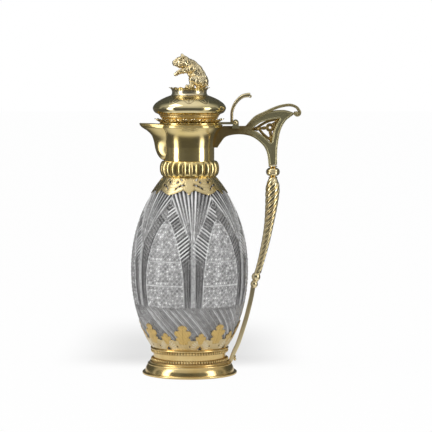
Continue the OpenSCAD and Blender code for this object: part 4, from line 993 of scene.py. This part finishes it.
arch = spline([(shaft_x - shaft_w / 2, shaft_z), far(-6.1, -26.6), far(-11.3, -17.8), far(-21.5, -10.5),
               near(16.6, -8.3), near(4.1, -10.5), near(-1.8, -17), near(-4.7, -21.5)], 8)
crest = spline([near(23, 0), far(-17.8, 7.7), far(-10.3, 12), far(-1.5, 14.9), far(6.7, 15.9),
                far(13.7, 15.5), far(21.5, 12.9)], 8)
back = spline([far(20, 10.9), far(12.8, 5.3), far(7.7, -3.9), far(5.3, -15.1),
               (shaft_x + shaft_w / 2, arm_top - 26 * drop_share), (shaft_x + shaft_w / 2, shaft_z)], 8)
seat_z = np.linspace(near(0, -21.5)[1], rim_z, 12)
seat_side = np.vstack([np.stack([collar_at(seat_z) - 0.7, seat_z], -1), [(collar_rim_r + 0.4, rim_z + 0.4)],
                       [(collar_rim_r + 0.6, arm_top)]])
opening = [spline([far(-21.4, -3.4), far(-12.7, 3.2), far(-2.5, 6.3), far(7.2, 7.8)], 8),
           spline([far(7, 7.4), far(2.8, 0.2), far(0.3, -7.5), far(-1.5, -17)], 8),
           spline([far(-1.9, -17), far(-7.6, -11.6), far(-14.7, -6.4), far(-21, -3.6)], 8)]


def plate(outlines, thick, ease):
    """Flat plate across the jug from closed outlines in its plane (the first is the edge, the others are
    holes): filled, given its thickness, and eased round its edges."""
    flat = bpy.data.curves.new("outline", "CURVE")
    flat.dimensions, flat.fill_mode = "2D", "BOTH"
    flat.extrude, flat.bevel_depth, flat.bevel_resolution = (thick / 2 - ease) * MM, ease * MM, 3
    flat.offset = -ease * MM
    for outline in outlines:
        loop = flat.splines.new("POLY")
        loop.points.add(len(outline) - 1)
        flat_points = np.column_stack([outline * MM, np.zeros(len(outline)), np.ones(len(outline))])
        loop.points.foreach_set("co", flat_points.ravel())
        loop.use_cyclic_u = True
    holder = bpy.data.objects.new("outline", flat)
    mesh = bpy.data.meshes.new_from_object(holder)
    bpy.data.objects.remove(holder)
    points = np.empty(len(mesh.vertices) * 3)
    mesh.vertices.foreach_get("co", points)
    x, y, z = points.reshape(-1, 3).T / MM
    mesh.calc_loop_triangles()
    faces = np.array([t.vertices for t in mesh.loop_triangles])
    bpy.data.meshes.remove(mesh)
    return np.stack([x, -z, y], -1), faces


def inset(line, gap):
    """An open line moved to its left by gap."""
    d = np.gradient(np.asarray(line, float), axis=0)
    d /= np.linalg.norm(d, axis=1, keepdims=True)
    return line + gap * np.stack([-d[:, 1], d[:, 0]], -1)


def in_plane(line, y):
    """A line of the handle's plane, laid at y."""
    line = np.asarray(line, float)
    return np.stack([line[:, 0], np.full(len(line), y), line[:, 1]], -1)


bracket_edge = np.vstack([seat_side, crest, back[:-1], arch])
hole = np.vstack([line[:-1] for line in opening])
reed_lines = [inset(arch, -1.6), inset(crest, -1.5)[2:], inset(back, -1.6), inset(opening[0], 1.2),
              inset(opening[1], 1.2), inset(opening[2], 1.2)]
face_y = bracket_t / 2 - 0.22
bracket_parts = [plate([bracket_edge, hole], bracket_t, 0.7)]
bracket_parts += [tube(in_plane(line, y), 0.36, 8) for line in reed_lines for y in (-face_y, face_y)]
gilt_bracket = gilt("gilt_bracket", (0.80, 0.72, 0.42), (0.66, 0.58, 0.32), 0.34, 0.1, 0.06)
bracket_x = np.concatenate([np.reshape(points, (-1, 3))[:, 0] for points, _ in bracket_parts])
# Painted shade: the groove mark darkens the bracket towards the neck, full within 44 mm of the axis and gone
# by 80 mm.
bracket = piece("sawn_handle_bracket", bracket_parts, 35, groove=1.5 * step(-bracket_x, -80, -44))
bracket.modifiers.new("flat faces", "WEIGHTED_NORMAL").keep_sharp = True
dress(bracket, "jug", "gilt", gilt_bracket, "handle_bracket")


# ---------------------------------------------------------------- handle tracery
# Openwork in the bracket's opening: a ring held by three bars inside a small triangle whose
# corners end in leaves. It is pierced and chased, and all of it takes a much darker copy of the
# gilt, painted shade for work set back in the opening.
ring_at, corners = far(-3, -1.6), [far(-15.3, -1.2), far(2.9, 6.7), far(-1.6, -14.6)]
bends = [far(-6.6, 3.9), far(2.2, -2.4), far(-9.6, -8.2)]
ends = [far(-22.6, -3.3), far(7.4, 8.2), far(-1.7, -17.6)]
a = 2 * np.pi * np.arange(28) / 28
ring_line = np.stack([ring_at[0] + 2.8 * np.cos(a), ring_at[1] + 2.8 * np.sin(a)], -1)
tracery_parts = [tube(in_plane(ring_line, 0), 1.6, 10, True)]
for k in range(3):
    start, stop = np.array(corners[k]), np.array(corners[(k + 1) % 3])
    tracery_parts.append(tube(in_plane(spline([start, bends[k], stop], 8), 0), 1.35, 10))
    out = (np.array(ends[k]) - ring_at) / np.linalg.norm(np.array(ends[k]) - ring_at)
    arm = np.linspace(np.array(ring_at) + 2.6 * out, ends[k], 24)
    t = np.linspace(0, 1, 24)
    leafy = 1.25 + 0.6 * np.exp(-((t - 0.2) / 0.1) ** 2) + 1.1 * np.exp(-((t - 0.62) / 0.11) ** 2)
    tracery_parts.append(tube(in_plane(arm, 0), leafy + 0.5 * np.exp(-((t - 0.86) / 0.07) ** 2), 10))
# Painted shade: a dark copy of the gilt for the whole tracery.
gilt_painted_shade = gilt("gilt_painted_shade", (0.42, 0.30, 0.12), (0.24, 0.16, 0.06), 0.3, 0.3, 0.1)
dress(piece("pierced_tracery", tracery_parts, 50), "jug", "warm_gilt", gilt_painted_shade, "handle_tracery")


# ---------------------------------------------------------------- handle ribbon
# A flat band bent over the bracket and rolled up at its end round a thin bar. Old polish dulls it
# all over; the bracket beside it is darkened towards the neck by painted shade.
def swept(line, half_thick, half_width, power=4.0, sides=28):
    """A band along a line in the handle's plane. Its section is a superellipse |x/a|^p + |y/b|^p = 1
    with a across the line and b across the jug."""
    line = np.asarray(line, float)
    d = np.gradient(line, axis=0)
    d /= np.linalg.norm(d, axis=1, keepdims=True)
    normal = np.stack([-d[:, 1], d[:, 0]], -1)[:, None]
    s = 2 * np.pi * (np.arange(sides) + 0.5) / sides
    c, w = np.cos(s), np.sin(s)
    shape = (np.abs(c) ** power + np.abs(w) ** power) ** (-1 / power)
    a = np.reshape(half_thick, (-1, 1)) * np.ones((len(line), 1))
    b = np.reshape(half_width, (-1, 1)) * np.ones((len(line), 1))
    flat = line[:, None] + normal * (a * shape * c)[..., None]
    rings = np.stack([flat[..., 0], -b * shape * w, flat[..., 1]], -1)
    ends = [np.repeat(in_plane(line[[i]], 0), sides, 0)[None] for i in (0, -1)]
    return np.concatenate([ends[0], rings, ends[1]]), grid_faces(len(line) + 2, sides, False, True)


ribbon_t, ribbon_w = 2.8, 10.0
ribbon_line = spline([near(25, 1.4), far(-17.4, 8.6), far(-7.6, 13.4), far(-1, 16.5), far(7.7, 19.6),
                      far(16.9, 20.8), far(23.2, 18.7), far(26.0, 15.2)], 10)
curl_at = np.array(far(23.7, 12.9))
first_ray = ribbon_line[-1] - curl_at
curl_turn = math.atan2(first_ray[1], first_ray[0]) - np.linspace(0.25, 4.6, 26)
curl_r = np.linspace(np.linalg.norm(first_ray), 1.5, 26)
curl_line = curl_at + np.stack([curl_r * np.cos(curl_turn), curl_r * np.sin(curl_turn)], -1)
ribbon_path = np.vstack([ribbon_line, curl_line])
along = np.linspace(0, 1, len(ribbon_path))
thin = ribbon_t / 2 * (0.35 + 0.65 * step(along, 0, 0.12)) * (1 - 0.2 * step(along, 0.68, 0.95))
ribbon = swept(ribbon_path, thin, ribbon_w / 2 * (1 + 0.1 * step(along, 0.75, 0.95)), 8)
roll_line = [(curl_at[0], y, curl_at[1]) for y in (-5.7, -5.2, 5.2, 5.7)]
roll = tube(roll_line, np.array([1.2, 1.7, 1.7, 1.2]), 16)
ribbon_dark = np.full(ribbon[0].size // 3 + roll[0].size // 3, 0.6)
rolled = piece("rolled_ribbon", [ribbon, roll], 50, groove=ribbon_dark)
dress(rolled, "jug", "gilt", gilt_bracket, "handle_ribbon")


# ---------------------------------------------------------------- knop
# A turned knop, screwed under the shaft. A low band between two fine lines runs round its middle,
# and hands have rubbed its gilding pale.
rubbed_pale = (0.92, 0.79, 0.48)
gilt_grip = gilt("gilt_grip", rubbed_pale, (0.88, 0.72, 0.42), 0.1, 0.05, 0.02)
knop_low, knop_top = low("handle_knop"), top("handle_knop")
knop_r, knop_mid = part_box("handle_knop")[1].y / MM, (knop_low + knop_top) / 2
knop_half = (knop_top - knop_low) / 2 - 1.2
t = np.linspace(-0.97, 0.97, 27)
knop_band = 0.5 * np.exp(-((np.abs(t) - 0.17) / 0.06) ** 2)
knop_side = np.stack([knop_r * np.sqrt(1 - t * t) - knop_band, knop_mid + knop_half * t], -1)
neck_r = 0.52 * knop_r
knop_foot = [(0, knop_low), (neck_r + 0.5, knop_low), (neck_r + 0.9, knop_low + 0.6),
             (neck_r, knop_low + 1.3)]
knop_head = [(neck_r, knop_top - 1.3), (neck_r + 0.9, knop_top - 0.6), (neck_r + 0.5, knop_top),
             (0, knop_top)]
knop_line = np.vstack([knop_foot, knop_side, knop_head])
knop = piece("turned_knop", [lathe(knop_line, 64, (shaft_x, 0))], 50)
dress(knop, "jug", "pale_gilt", gilt_grip, "handle_knop")


# ---------------------------------------------------------------- twisted grip
# Cast with five strands that wind round a bent, tapering core. Deep grooves part them and hold
# old polish.
grip_top, grip_low, strands = top("handle_grip"), low("handle_grip"), 5
grip_end_x = glass_at(grip_low) + 3.2 + 2.1 + 4.3
swell_at = [(0, 0.56), (0.03, 0.74), (0.07, 0.92), (0.13, 1), (0.21, 0.95), (0.33, 0.83), (0.43, 0.73),
            (0.53, 0.65), (0.64, 0.6), (0.78, 0.54), (0.9, 0.49), (1, 0.48)]


def twisted_grip(rings=260, sides=100, grip_r=7.2):
    """Radius r * (1 - depth + depth * ridge), where the ridge is the arc sqrt(1 - s^2) of
    s = 1 - |cos(5/2 * (angle - twist))|. The pitch is 34 mm at the top and 26 mm at the foot, and the
    axis bends in as share^1.9."""
    t = np.linspace(0, 1, rings)[:, None]
    z = grip_top - (grip_top - grip_low) * t
    swell = spline(swell_at, 6)
    r = grip_r * np.interp(t, swell[:, 0], swell[:, 1])
    pitch = 34 - 8 * t
    step_z = (grip_top - grip_low) / (rings - 1)
    twist = -np.cumsum(2 * np.pi * step_z / pitch, axis=0)
    a = 2 * np.pi * np.arange(sides)[None, :] / sides
    ridge = np.sqrt(1 - 0.97 * (1 - np.abs(np.cos(strands / 2 * (a - twist)))) ** 2)
    ridge = (ridge - 0.17) / 0.83
    depth = 0.3 * np.minimum(1, np.minimum(t, 1 - t) * 22)
    rr = r * (1 - depth + depth * ridge)
    x = shaft_x - (shaft_x - grip_end_x) * t**1.9
    rows = np.stack([x + rr * np.cos(a), rr * np.sin(a), z + 0 * a], -1)
    ends = [np.repeat([[x[i, 0], 0, z[i, 0]]], sides, 0)[None] for i in (0, -1)]
    grid = np.concatenate([ends[0], rows, ends[1]])
    dark = np.zeros(grid.shape[:2])
    dark[1:-1] = np.clip(0.95 - 2.0 * ridge, 0, 1)
    return grid, grid_faces(len(grid), sides, False, True)[:, ::-1], dark


points, faces, dark = twisted_grip()
dress(piece("twisted_grip", [(points, faces)], 60, groove=dark), "jug", "pale_gilt", gilt_grip, "handle_grip")


# ---------------------------------------------------------------- beads and rod
# Two turned beads join the grip to a slim square rod, which is bent to stand off the glass and
# soldered to the foot. A small scroll hides the joint. The rod's gilding is rubbed pale and matt.
beads_top, beads_low = top("grip_beads"), low("grip_beads")
bead_sizes, bead_x = (4.5, 3.8), (grip_end_x - 1.7, grip_end_x - 3.5)
bead_z = (beads_top - 4.1, beads_top - 8 - 3.4)
bead_parts = []
for r, x, z in zip(bead_sizes, bead_x, bead_z):
    t = np.linspace(-0.5 * np.pi, 0.5 * np.pi, 25)
    waist = 0.35 * np.exp(-((np.abs(t) - 0.2) / 0.07) ** 2)
    side_line = np.stack([np.maximum(r * np.cos(t) - waist, 0), z + r * np.sin(t)], -1)
    bead_parts.append(lathe(side_line, 40, (x, 0)))
bead_parts.append(lathe(ring(2.4, bead_z[0] - 4.0, 0.8), 32, (bead_x[0] - 0.8, 0)))
bead_parts.append(lathe(ring(2.4, beads_top - 0.5, 0.8), 32, (grip_end_x - 0.4, 0)))
bead_parts.append(lathe(ring(2.1, beads_low + 0.4, 0.75), 32, (bead_x[1] - 0.4, 0)))
dress(piece("turned_grip_beads", bead_parts, 50), "jug", "pale_gilt", gilt_grip, "grip_beads")

rod_top, rod_t, rod_off = top("handle_rod"), 4.2, 5.3


def beside_glass(share, more):
    """A place of the rod's axis beside the glass."""
    z = rod_top + (drum_top - rod_top) * share
    return float(glass_at(z)) + rod_off + more, z


gilt_rubbed = gilt("gilt_rubbed", rubbed_pale, (0.86, 0.70, 0.40), 0.27, 0.05, 0.02)
rod_line = spline([beside_glass(0, 0.5), beside_glass(0.15, 0.2), beside_glass(0.33, 0),
                   beside_glass(0.52, 0.4), beside_glass(0.74, 1.7), (drum_r + 12.4, drum_top + 3),
                   (drum_r + 8.8, drum_z + 9.2), (drum_r + 5.9, drum_z + 2), (drum_r + 4.3, drum_z - 1.4)], 9)
rod = swept(rod_line, rod_t / 2 * np.linspace(1.08, 1.0, len(rod_line)), rod_t / 2, 7, 32)
dress(piece("bent_square_rod", [rod], 30), "jug", "gilt", gilt_rubbed, "handle_rod")

scroll_at = np.array([drum_r + 8.4, drum_z + 3.4])
a, scroll_r = np.linspace(-0.9 * np.pi, 0.9 * np.pi, 30), np.linspace(2.0, 0.7, 30)
scroll_line = scroll_at + np.stack([scroll_r * np.cos(a), scroll_r * np.sin(a)], -1)
scroll_parts = [swept(scroll_line, 0.55, 2.5, 4, 20)]
for dx, dz, r in ((-0.4, 3.0, 1.5), (0.9, -2.8, 1.35), (0, 0, 1.1)):
    t = np.linspace(-0.5 * np.pi, 0.5 * np.pi, 13)
    ball = np.stack([np.maximum(r * np.cos(t), 0), scroll_at[1] + dz + r * np.sin(t)], -1)
    scroll_parts.append(lathe(ball, 24, (scroll_at[0] + dx, 0)))
dress(piece("rod_scroll_work", scroll_parts, 50), "jug", "gilt", gilt_grip, "rod_scroll")


# ---------------------------------------------------------------- hinge
# Three knuckles on a pin: two stand on saddles beside the bracket, and the lid's strap carries
# the middle one.
finish_node(gilt_bracket, "hinge_lugs", "lid_strap")
pin_r, pin_half = 1.2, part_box("hinge_pin")[1].y / MM
head_r, hinge_z = (top("hinge_pin") - low("hinge_pin")) / 2, (top("hinge_pin") + low("hinge_pin")) / 2
hinge_x = (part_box("hinge_pin")[0].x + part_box("hinge_pin")[1].x) / 2 / MM
head = [(0, 0), (0.45 * head_r, 0.12), (0.85 * head_r, 0.5), (head_r, 0.95), (head_r, 1.2), (pin_r, 1.2)]
pin_line = np.array(head + [(r, 2 * pin_half - y) for r, y in head[::-1]]) - [0, pin_half]
points, faces = lathe(pin_line, 32)
points = points[..., [0, 2, 1]] + [hinge_x, 0, hinge_z]
dress(piece("domed_hinge_pin", [(points, faces[:, ::-1])], 50), "jug", "pale_gilt", gilt_grip, "hinge_pin")


# ---------------------------------------------------------------- thumbpiece
# A lever soldered on the lid's strap. It thickens and widens as it curves back, and ends in a
# rolled lip. Thumbs have rubbed its end clean, and old polish stays on its foot.
thumb_x, thumb_t, thumb_w = hinge_x - 3, 2.8, 5.6
thumb_at = [(-0.9, -0.2), (-0.9, 5), (-0.6, 11), (1.6, 17.4), (5.4, 22.6), (10.6, 26.4), (16.6, 27.4)]
thumb_line = spline([(thumb_x + x, hinge_z + z) for x, z in thumb_at], 8)
thumb_end = thumb_line[-1] + [0.81, -1.4]
a = np.linspace(0.62 * np.pi, -0.8 * np.pi, 22)[:, None]
thumb_roll = thumb_end + np.linspace(1.0, 0.5, 22)[:, None] * np.hstack([np.cos(a), np.sin(a)])
thumb_path = np.vstack([thumb_line, thumb_roll])
share = np.arange(len(thumb_path)) / (len(thumb_line) - 1)
thick = np.where(share > 1, 0.85, thumb_t * (0.5 + 0.32 * share**2))
lever = swept(thumb_path, thick, thumb_w / 2 * (0.8 + 0.28 * step(share, 0.3, 0.9)), 3, 28)
polish_left = 0.55 - 0.5 * step(np.concatenate([[0], share, [1]]), 0.3, 0.8)
polish_left = np.broadcast_to(polish_left[:, None], lever[0].shape[:2])
thumbpiece = piece("curved_thumbpiece", [lever], 60, groove=polish_left)
dress(thumbpiece, "lid", "pale_gilt", gilt_rubbed, "thumbpiece")


# ---------------------------------------------------------------- lid flange, bezel and lining
# The flange rests on the rim; the hidden bezel under it centres the lid in the neck, and a disc
# closes the lid from below.
finish_node(gilt_neck, "lid_bezel", "lid_lining")
flange_r, flange_z, flange_top = wide("lid_flange"), low("lid_flange"), top("lid_flange")
lining_r = wide("lid_lining")
flange_line = [(lining_r, flange_z), (flange_r - 0.4, flange_z), (flange_r, flange_z + 0.5),
               (flange_r, flange_top - 0.7), (flange_r - 0.7, flange_top), (lining_r, flange_top)]
flange = piece("turned_lid_flange", [lathe(rounded(flange_line, 0.35), 192)], 50)
dress(flange, "lid", "gilt", gilt_neck, "lid_flange")


# ---------------------------------------------------------------- lid leaf border
# A splayed frill of small leaves, each with a sunk midrib and a pointed, upturned end.
border_r, border_z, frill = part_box("lid_leaf_border")[1].y / MM, flange_top, 24
waist_r = 26.8


def leaf_frill(columns=24 * 16, rows=16):
    """Across one leaf the edge falls back as share^2.4 towards the notch; the sheet rises as t^1.6 from
    the waist to the tips, with a midrib pressed in and the notches pressed down."""
    a = 2 * np.pi * np.arange(columns)[None, :] / columns
    across = np.abs(((a * frill / (2 * np.pi)) % 1) - 0.5) * 2
    t = np.linspace(0, 1, rows)[:, None]
    edge_r = border_r - 4.6 * across**2.4 - 0.9 * across
    r = waist_r + 0.3 + (edge_r - waist_r - 0.3) * t
    rise = (r - waist_r) / (border_r - waist_r)
    midrib = 0.45 * np.exp(-((across / 0.16) ** 2)) * np.sin(np.pi * np.clip(t, 0, 0.9))
    crease = -midrib - 0.9 * across**4 * t
    z = border_z + 0.25 + 3.2 * rise**1.6 + crease
    thick = 0.9 * (1 - 0.5 * t**3)
    over, under = (np.stack([r * np.sin(a), -r * np.cos(a), z + h], -1) for h in (thick, 0 * thick))
    dark = np.clip(across**6 * 1.2 + np.exp(-((across / 0.12) ** 2)) * (t > 0.1), 0, 1) * np.ones_like(r)
    grid = np.concatenate([under, over[::-1]])
    return grid, grid_faces(len(grid), columns, True, True), np.concatenate([dark, dark[::-1]])


points, faces, dark = leaf_frill()
gilt_border = gilt("gilt_border", (0.92, 0.82, 0.56), (0.84, 0.70, 0.42), 0.2, 0.1, 0.05)
border = piece("leaf_border_frill", [(points, faces)], 50, groove=dark)
dress(border, "lid", "warm_gilt", gilt_border, "lid_leaf_border")


# ---------------------------------------------------------------- lid waist
# A spun drum under the bun, with turned mouldings. No cloth reaches in under the bun, so it is less
# bright than its neighbours.
bun_z, bun_r, bun_top = low("lid_bun"), wide("lid_bun"), top("lid_bun")
waist_h = bun_z - flange_top
waist_line = [(waist_r - sheet, flange_top), (waist_r + 0.1, flange_top),
              (waist_r + 0.2, flange_top + 1.8), (waist_r + 0.9, flange_top + 2.2),
              (waist_r + 0.9, flange_top + 3.0), (waist_r + 0.3, flange_top + 3.3),
              (waist_r + 1.5, flange_top + 0.55 * waist_h), (waist_r + 2.4, flange_top + 0.66 * waist_h),
              (waist_r + 2.4, flange_top + 0.8 * waist_h), (waist_r + 3.4, flange_top + 0.86 * waist_h),
              (waist_r + 3.8, bun_z), (waist_r - sheet, bun_z)]
gilt_deep = gilt("gilt_deep", (0.93, 0.74, 0.36), (0.88, 0.66, 0.29), 0.34, 0.05)
waist_drum = piece("spun_lid_waist", [lathe(rounded(waist_line, 0.3), 192)], 50)
dress(waist_drum, "lid", "warm_gilt", gilt_deep, "lid_waist")


# ---------------------------------------------------------------- lid bun
# A squashed dome, spun in one piece and polished. Twelve leaves are engraved on its top, round
# the coronet.
coronet_r = 17.4
bun_top_r = coronet_r + 1
bun_h = bun_top - bun_z
bun_side = spline([(waist_r + 4.2, bun_z), (bun_r - 1.9, bun_z + 0.1 * bun_h), (bun_r, bun_z + 0.32 * bun_h),
                   (bun_r - 2.3, bun_z + 0.55 * bun_h),
                   (bun_r + 0.38 * (bun_top_r - bun_r), bun_z + 0.74 * bun_h),
                   (bun_r + 0.72 * (bun_top_r - bun_r), bun_z + 0.9 * bun_h), (bun_top_r, bun_top)], 12)
bun_under = np.array([(bun_top_r, bun_top - 1.5), (bun_r - 12, bun_z + 0.62 * bun_h),
                      (bun_r - 3, bun_z + 0.36 * bun_h), (bun_r - 5, bun_z + 1.4),
                      (waist_r - sheet, bun_z + 1.3), (waist_r - sheet, bun_z)])
bun_line = np.vstack([bun_side, bun_under])
points, faces = lathe(bun_line, 288)
bun_turn = np.arctan2(points[..., 0], -points[..., 1])
bun_radius = np.hypot(points[..., 0], points[..., 1])
leaf_share = np.abs((bun_turn * 12 / (2 * np.pi) + 0.5) % 1 - 0.5) * 2
leaf_line = 33.5 - 11 * leaf_share**2
bun_cuts = stroke(bun_radius - leaf_line, 0.9)
in_leaf = bun_radius < leaf_line - 1
bun_cuts = np.maximum(bun_cuts, stroke(leaf_share * bun_radius * 0.26, 0.6) * in_leaf)
barbs = stroke((bun_radius + 7 * leaf_share) % 2.6 - 1.3, 0.5) * in_leaf
bun_cuts = np.maximum.reduce([bun_cuts, 0.6 * barbs, 0.3 * step(leaf_line - bun_radius, 0, 1)])
bun_cuts = bun_cuts * (points[..., 2] > bun_z + 0.5 * bun_h)
bun_cuts[len(bun_side):] = 0
points = points - 0.4 * bun_cuts[..., None] * [0, 0, 1]
gilt_bun = gilt("gilt_bun", (0.90, 0.77, 0.44), (0.84, 0.70, 0.36), 0.09, 0.22, 0.04)
dress(piece("spun_lid_bun", [(points, faces)], 50, groove=bun_cuts), "lid", "gilt", gilt_bun, "lid_bun")


# ---------------------------------------------------------------- coronet
# A ring with twenty petals that bend out at their points, sawn and chased.
coronet_h, petals, tip_r = top("coronet") - bun_top, 20, coronet_r + 3.7


def petal_ring(columns=20 * 18, rows=22):
    """The wall follows one profile curve. A petal's edge lies at a share of it that falls from 1 at its
    point to 0.72 at the notch as 1 - 0.28 * across^1.5."""
    a = 2 * np.pi * np.arange(columns)[None, :] / columns
    across = np.abs(((a * petals / (2 * np.pi)) % 1) - 0.5) * 2
    side = spline([(coronet_r + 0.9, 0), (coronet_r, 0.22), (coronet_r, 0.52), (coronet_r + 1.3, 0.82),
                   (tip_r, 0.98)], 10)
    t = np.linspace(0, 1, rows)[:, None] * (1 - 0.28 * across**1.5)
    where = np.linspace(0, 1, len(side))
    r, z = np.interp(t, where, side[:, 0]), np.interp(t, where, side[:, 1])
    crease = 0.35 * np.exp(-((across / 0.2) ** 2)) * step(t, 0.4, 0.8)
    outer_r, outer_z = r - crease, bun_top + coronet_h * z
    outer = np.stack([outer_r * np.sin(a), -outer_r * np.cos(a), outer_z], -1)
    inner_r, inner_z = r - 1.0 + 0.35 * step(t, 0.5, 1), outer_z + 0.25 * step(t, 0.6, 1)
    inner = np.stack([inner_r * np.sin(a), -inner_r * np.cos(a), inner_z], -1)
    grid = np.concatenate([outer, inner[::-1]])
    midrib = np.exp(-((across / 0.14) ** 2)) * step(t, 0.5, 0.8)
    dark = np.clip(across**5 * step(t, 0.45, 0.6) + midrib, 0, 1)
    return grid, grid_faces(len(grid), columns, True, True), np.concatenate([dark, dark[::-1]])


points, faces, dark = petal_ring()
coronet = piece("petal_coronet", [(points, faces)], 50, groove=dark)
dress(coronet, "lid", "engraved_gilt", gilt_border, "coronet")


# ---------------------------------------------------------------- finial plinth
# The block inside the coronet that the bear sits on, turned with an eased edge. A hidden stud and
# nut hold it to the lid.
plinth_top, plinth_r = top("finial_plinth"), coronet_r - 1.3
plinth_line = spline([(plinth_r, bun_top), (plinth_r, bun_top + 0.55 * coronet_h),
                      (plinth_r - 0.3, plinth_top - 0.9), (plinth_r - 2.2, plinth_top - 0.3),
                      (8, plinth_top), (0, plinth_top)], 6)
points, faces = lathe(np.vstack([plinth_line, [(0, bun_top)]]), 96)
dress(piece("finial_base_block", [(points, faces)], 50), "lid", "gilt", gilt_border, "finial_plinth")
finish_node(gilt_neck, "finial_stud", "finial_nut")


# ---------------------------------------------------------------- bear
# Cast and chased: a seated bear that begs with both arms. Its coat is combed with a graver, and
# old polish darkens the hollows.
bear_sides = [((-8.0, 3.2, 23.8), (-6.2, 3.2, 24.6), 3.5, 3.3),
              ((-9.8, 2.2, 28.4), (-8.6, 2.8, 29), 1.8, 1.8),
              ((-10.4, 3.6, 27.0), (-12.2, 2.6, 25.6), 0.9, 0.9),
              ((-6.4, 4.0, 30.8), (-7.2, 4.5, 32.6), 2.0, 1.3),
              ((3.2, 4.4, 19.5), (1.6, 4.6, 18.4), 4.0, 3.6), ((1.6, 5.2, 18.6), (-5.0, 4.8, 17.4), 3.4, 2.9),
              ((-5.0, 4.8, 17.4), (-11.0, 3.8, 15.4), 2.9, 2.1),
              ((-11.0, 3.8, 15.4), (-14.0, 3.4, 13.2), 2.1, 1.5),
              ((10.4, 5.6, 6.2), (3.2, 6.2, 8.4), 5.6, 3.9), ((3.4, 6.3, 7.6), (2.4, 6.2, 2.6), 3.4, 2.4),
              ((3, 6.2, 1.8), (-2.4, 6.0, 1.6), 2.1, 1.6)]
bear_middle = [((11.6, 0, 6.5), (6.8, 0, 17), 7.5, 6.6), ((6.8, 0, 17), (3.2, 0, 22), 6.6, 5.4),
               ((3.2, 0, 22), (-4, 0, 25.2), 5.4, 5.6), ((-5.4, 0, 25.4), (-8.6, 0, 25.6), 6.6, 5.7),
               ((-9.5, 0, 24.4), (-13.9, 0, 24.7), 4.6, 3.1), ((-15.6, 0, 25.8), (-15.4, 0, 25.6), 1.5, 1.5),
               ((1.8, 0, 17.6), (3.6, 0, 13), 5.0, 4.6), ((16.6, 0, 3.5), (18, 0, 2.6), 1.6, 1.2)]


def limb(start, end, start_r, end_r):
    """A tapering bar with round ends."""
    start, end = np.array(start, float), np.array(end, float)
    length = np.linalg.norm(end - start)
    t = np.linspace(0, 1, 25)
    run = -start_r + (length + start_r + end_r) * (1 - np.cos(np.pi * t)) / 2
    side = start_r + (end_r - start_r) * np.clip(run / length, 0, 1)
    beyond = np.maximum(-run, np.maximum(run - length, 0))
    radius = np.sqrt(np.maximum(side**2 - beyond**2, 1e-6))
    return tube(start + run[:, None] / length * (end - start), radius, 18)


bear_limbs = [limb(*bar) for bar in bear_middle]
for mirror in ([1, 1, 1], [1, -1, 1]):
    bear_limbs += [limb(np.multiply(start, mirror), np.multiply(end, mirror), start_r, end_r)
                   for start, end, start_r, end_r in bear_sides]
rough_bear = piece("rough_bear", bear_limbs)
fuse = rough_bear.modifiers.new("fuse", "REMESH")
fuse.mode, fuse.voxel_size = "VOXEL", 0.36 * MM
soften = rough_bear.modifiers.new("soften", "SMOOTH")
soften.iterations = 5
bpy.context.view_layer.update()
cast = bpy.data.meshes.new_from_object(rough_bear.evaluated_get(bpy.context.evaluated_depsgraph_get()))
bear_points, bear_normals = np.empty(len(cast.vertices) * 3), np.empty(len(cast.vertices) * 3)
cast.vertices.foreach_get("co", bear_points)
cast.vertices.foreach_get("normal", bear_normals)
bear_faces = np.empty(len(cast.polygons) * 4, int)
cast.polygons.foreach_get("vertices", bear_faces)
bear_points, bear_normals = bear_points.reshape(-1, 3) / MM, bear_normals.reshape(-1, 3)
bpy.data.meshes.remove(cast)
bpy.data.objects.remove(rough_bear)


def combed(points, hair, spacing, waves, seed):
    """Locks that run along hair: a sum of waves whose crests lie nearly along it, about spacing apart."""
    rng = np.random.default_rng(seed)
    way = rng.normal(size=(waves, 3))
    hair = np.array(hair) / np.linalg.norm(hair)
    way -= 0.72 * (way @ hair)[:, None] * hair
    stretch = rng.uniform(0.7, 1.3, (waves, 1))
    way *= 2 * np.pi / spacing / np.linalg.norm(way, axis=1, keepdims=True) * stretch
    return np.sin(points @ way.T + rng.uniform(0, 2 * np.pi, waves)).sum(1) / math.sqrt(waves / 2)


body_coat = combed(bear_points, (0.45, 0, -0.9), 2.3, 36, 5)
head_coat = combed(bear_points, (0.9, 0, 0.3), 1.9, 36, 6)
on_head = step(-bear_points[:, 0], 2, 5) * step(bear_points[:, 2], 20, 22)
coat = body_coat * (1 - on_head) + head_coat * on_head
eye_gap = np.hypot(bear_points[:, 0] + 9.6, bear_points[:, 2] - 27.7)
eyes = step(-eye_gap, -1.15, -0.7) * (np.abs(bear_points[:, 1]) > 2)
nose = step(-np.linalg.norm(bear_points - [-16.4, 0, 26.0], axis=1), -2.2, -1.4)
mouth = stroke(bear_points[:, 2] - 23.4 - 0.12 * (bear_points[:, 0] + 14), 0.5) * (bear_points[:, 0] < -11.4)
coat = coat * (1 - eyes) * (1 - nose)
bear_points = bear_points + bear_normals * (0.2 * coat - 0.35 * eyes - 0.3 * mouth)[:, None]
bear_points[:, 2] = np.maximum(bear_points[:, 2], -0.3)
bear_points = bear_points + [0, 0, plinth_top]
bear_points[:, 2] = np.minimum(bear_points[:, 2], top("finial_bear"))
bear_dark = np.maximum.reduce([np.clip(-0.5 * coat - 0.15, 0, 1), 1.1 * eyes, 0.9 * mouth, 0.6 * nose])
gilt_bear = gilt("gilt_bear", (0.94, 0.80, 0.50), (0.86, 0.67, 0.34), 0.25, 0.1, 0.05)
bear = piece("chased_bear", [(bear_points, bear_faces.reshape(-1, 4))], 70, groove=bear_dark)
dress(bear, "lid", "engraved_gilt", gilt_bear, "finial_bear")
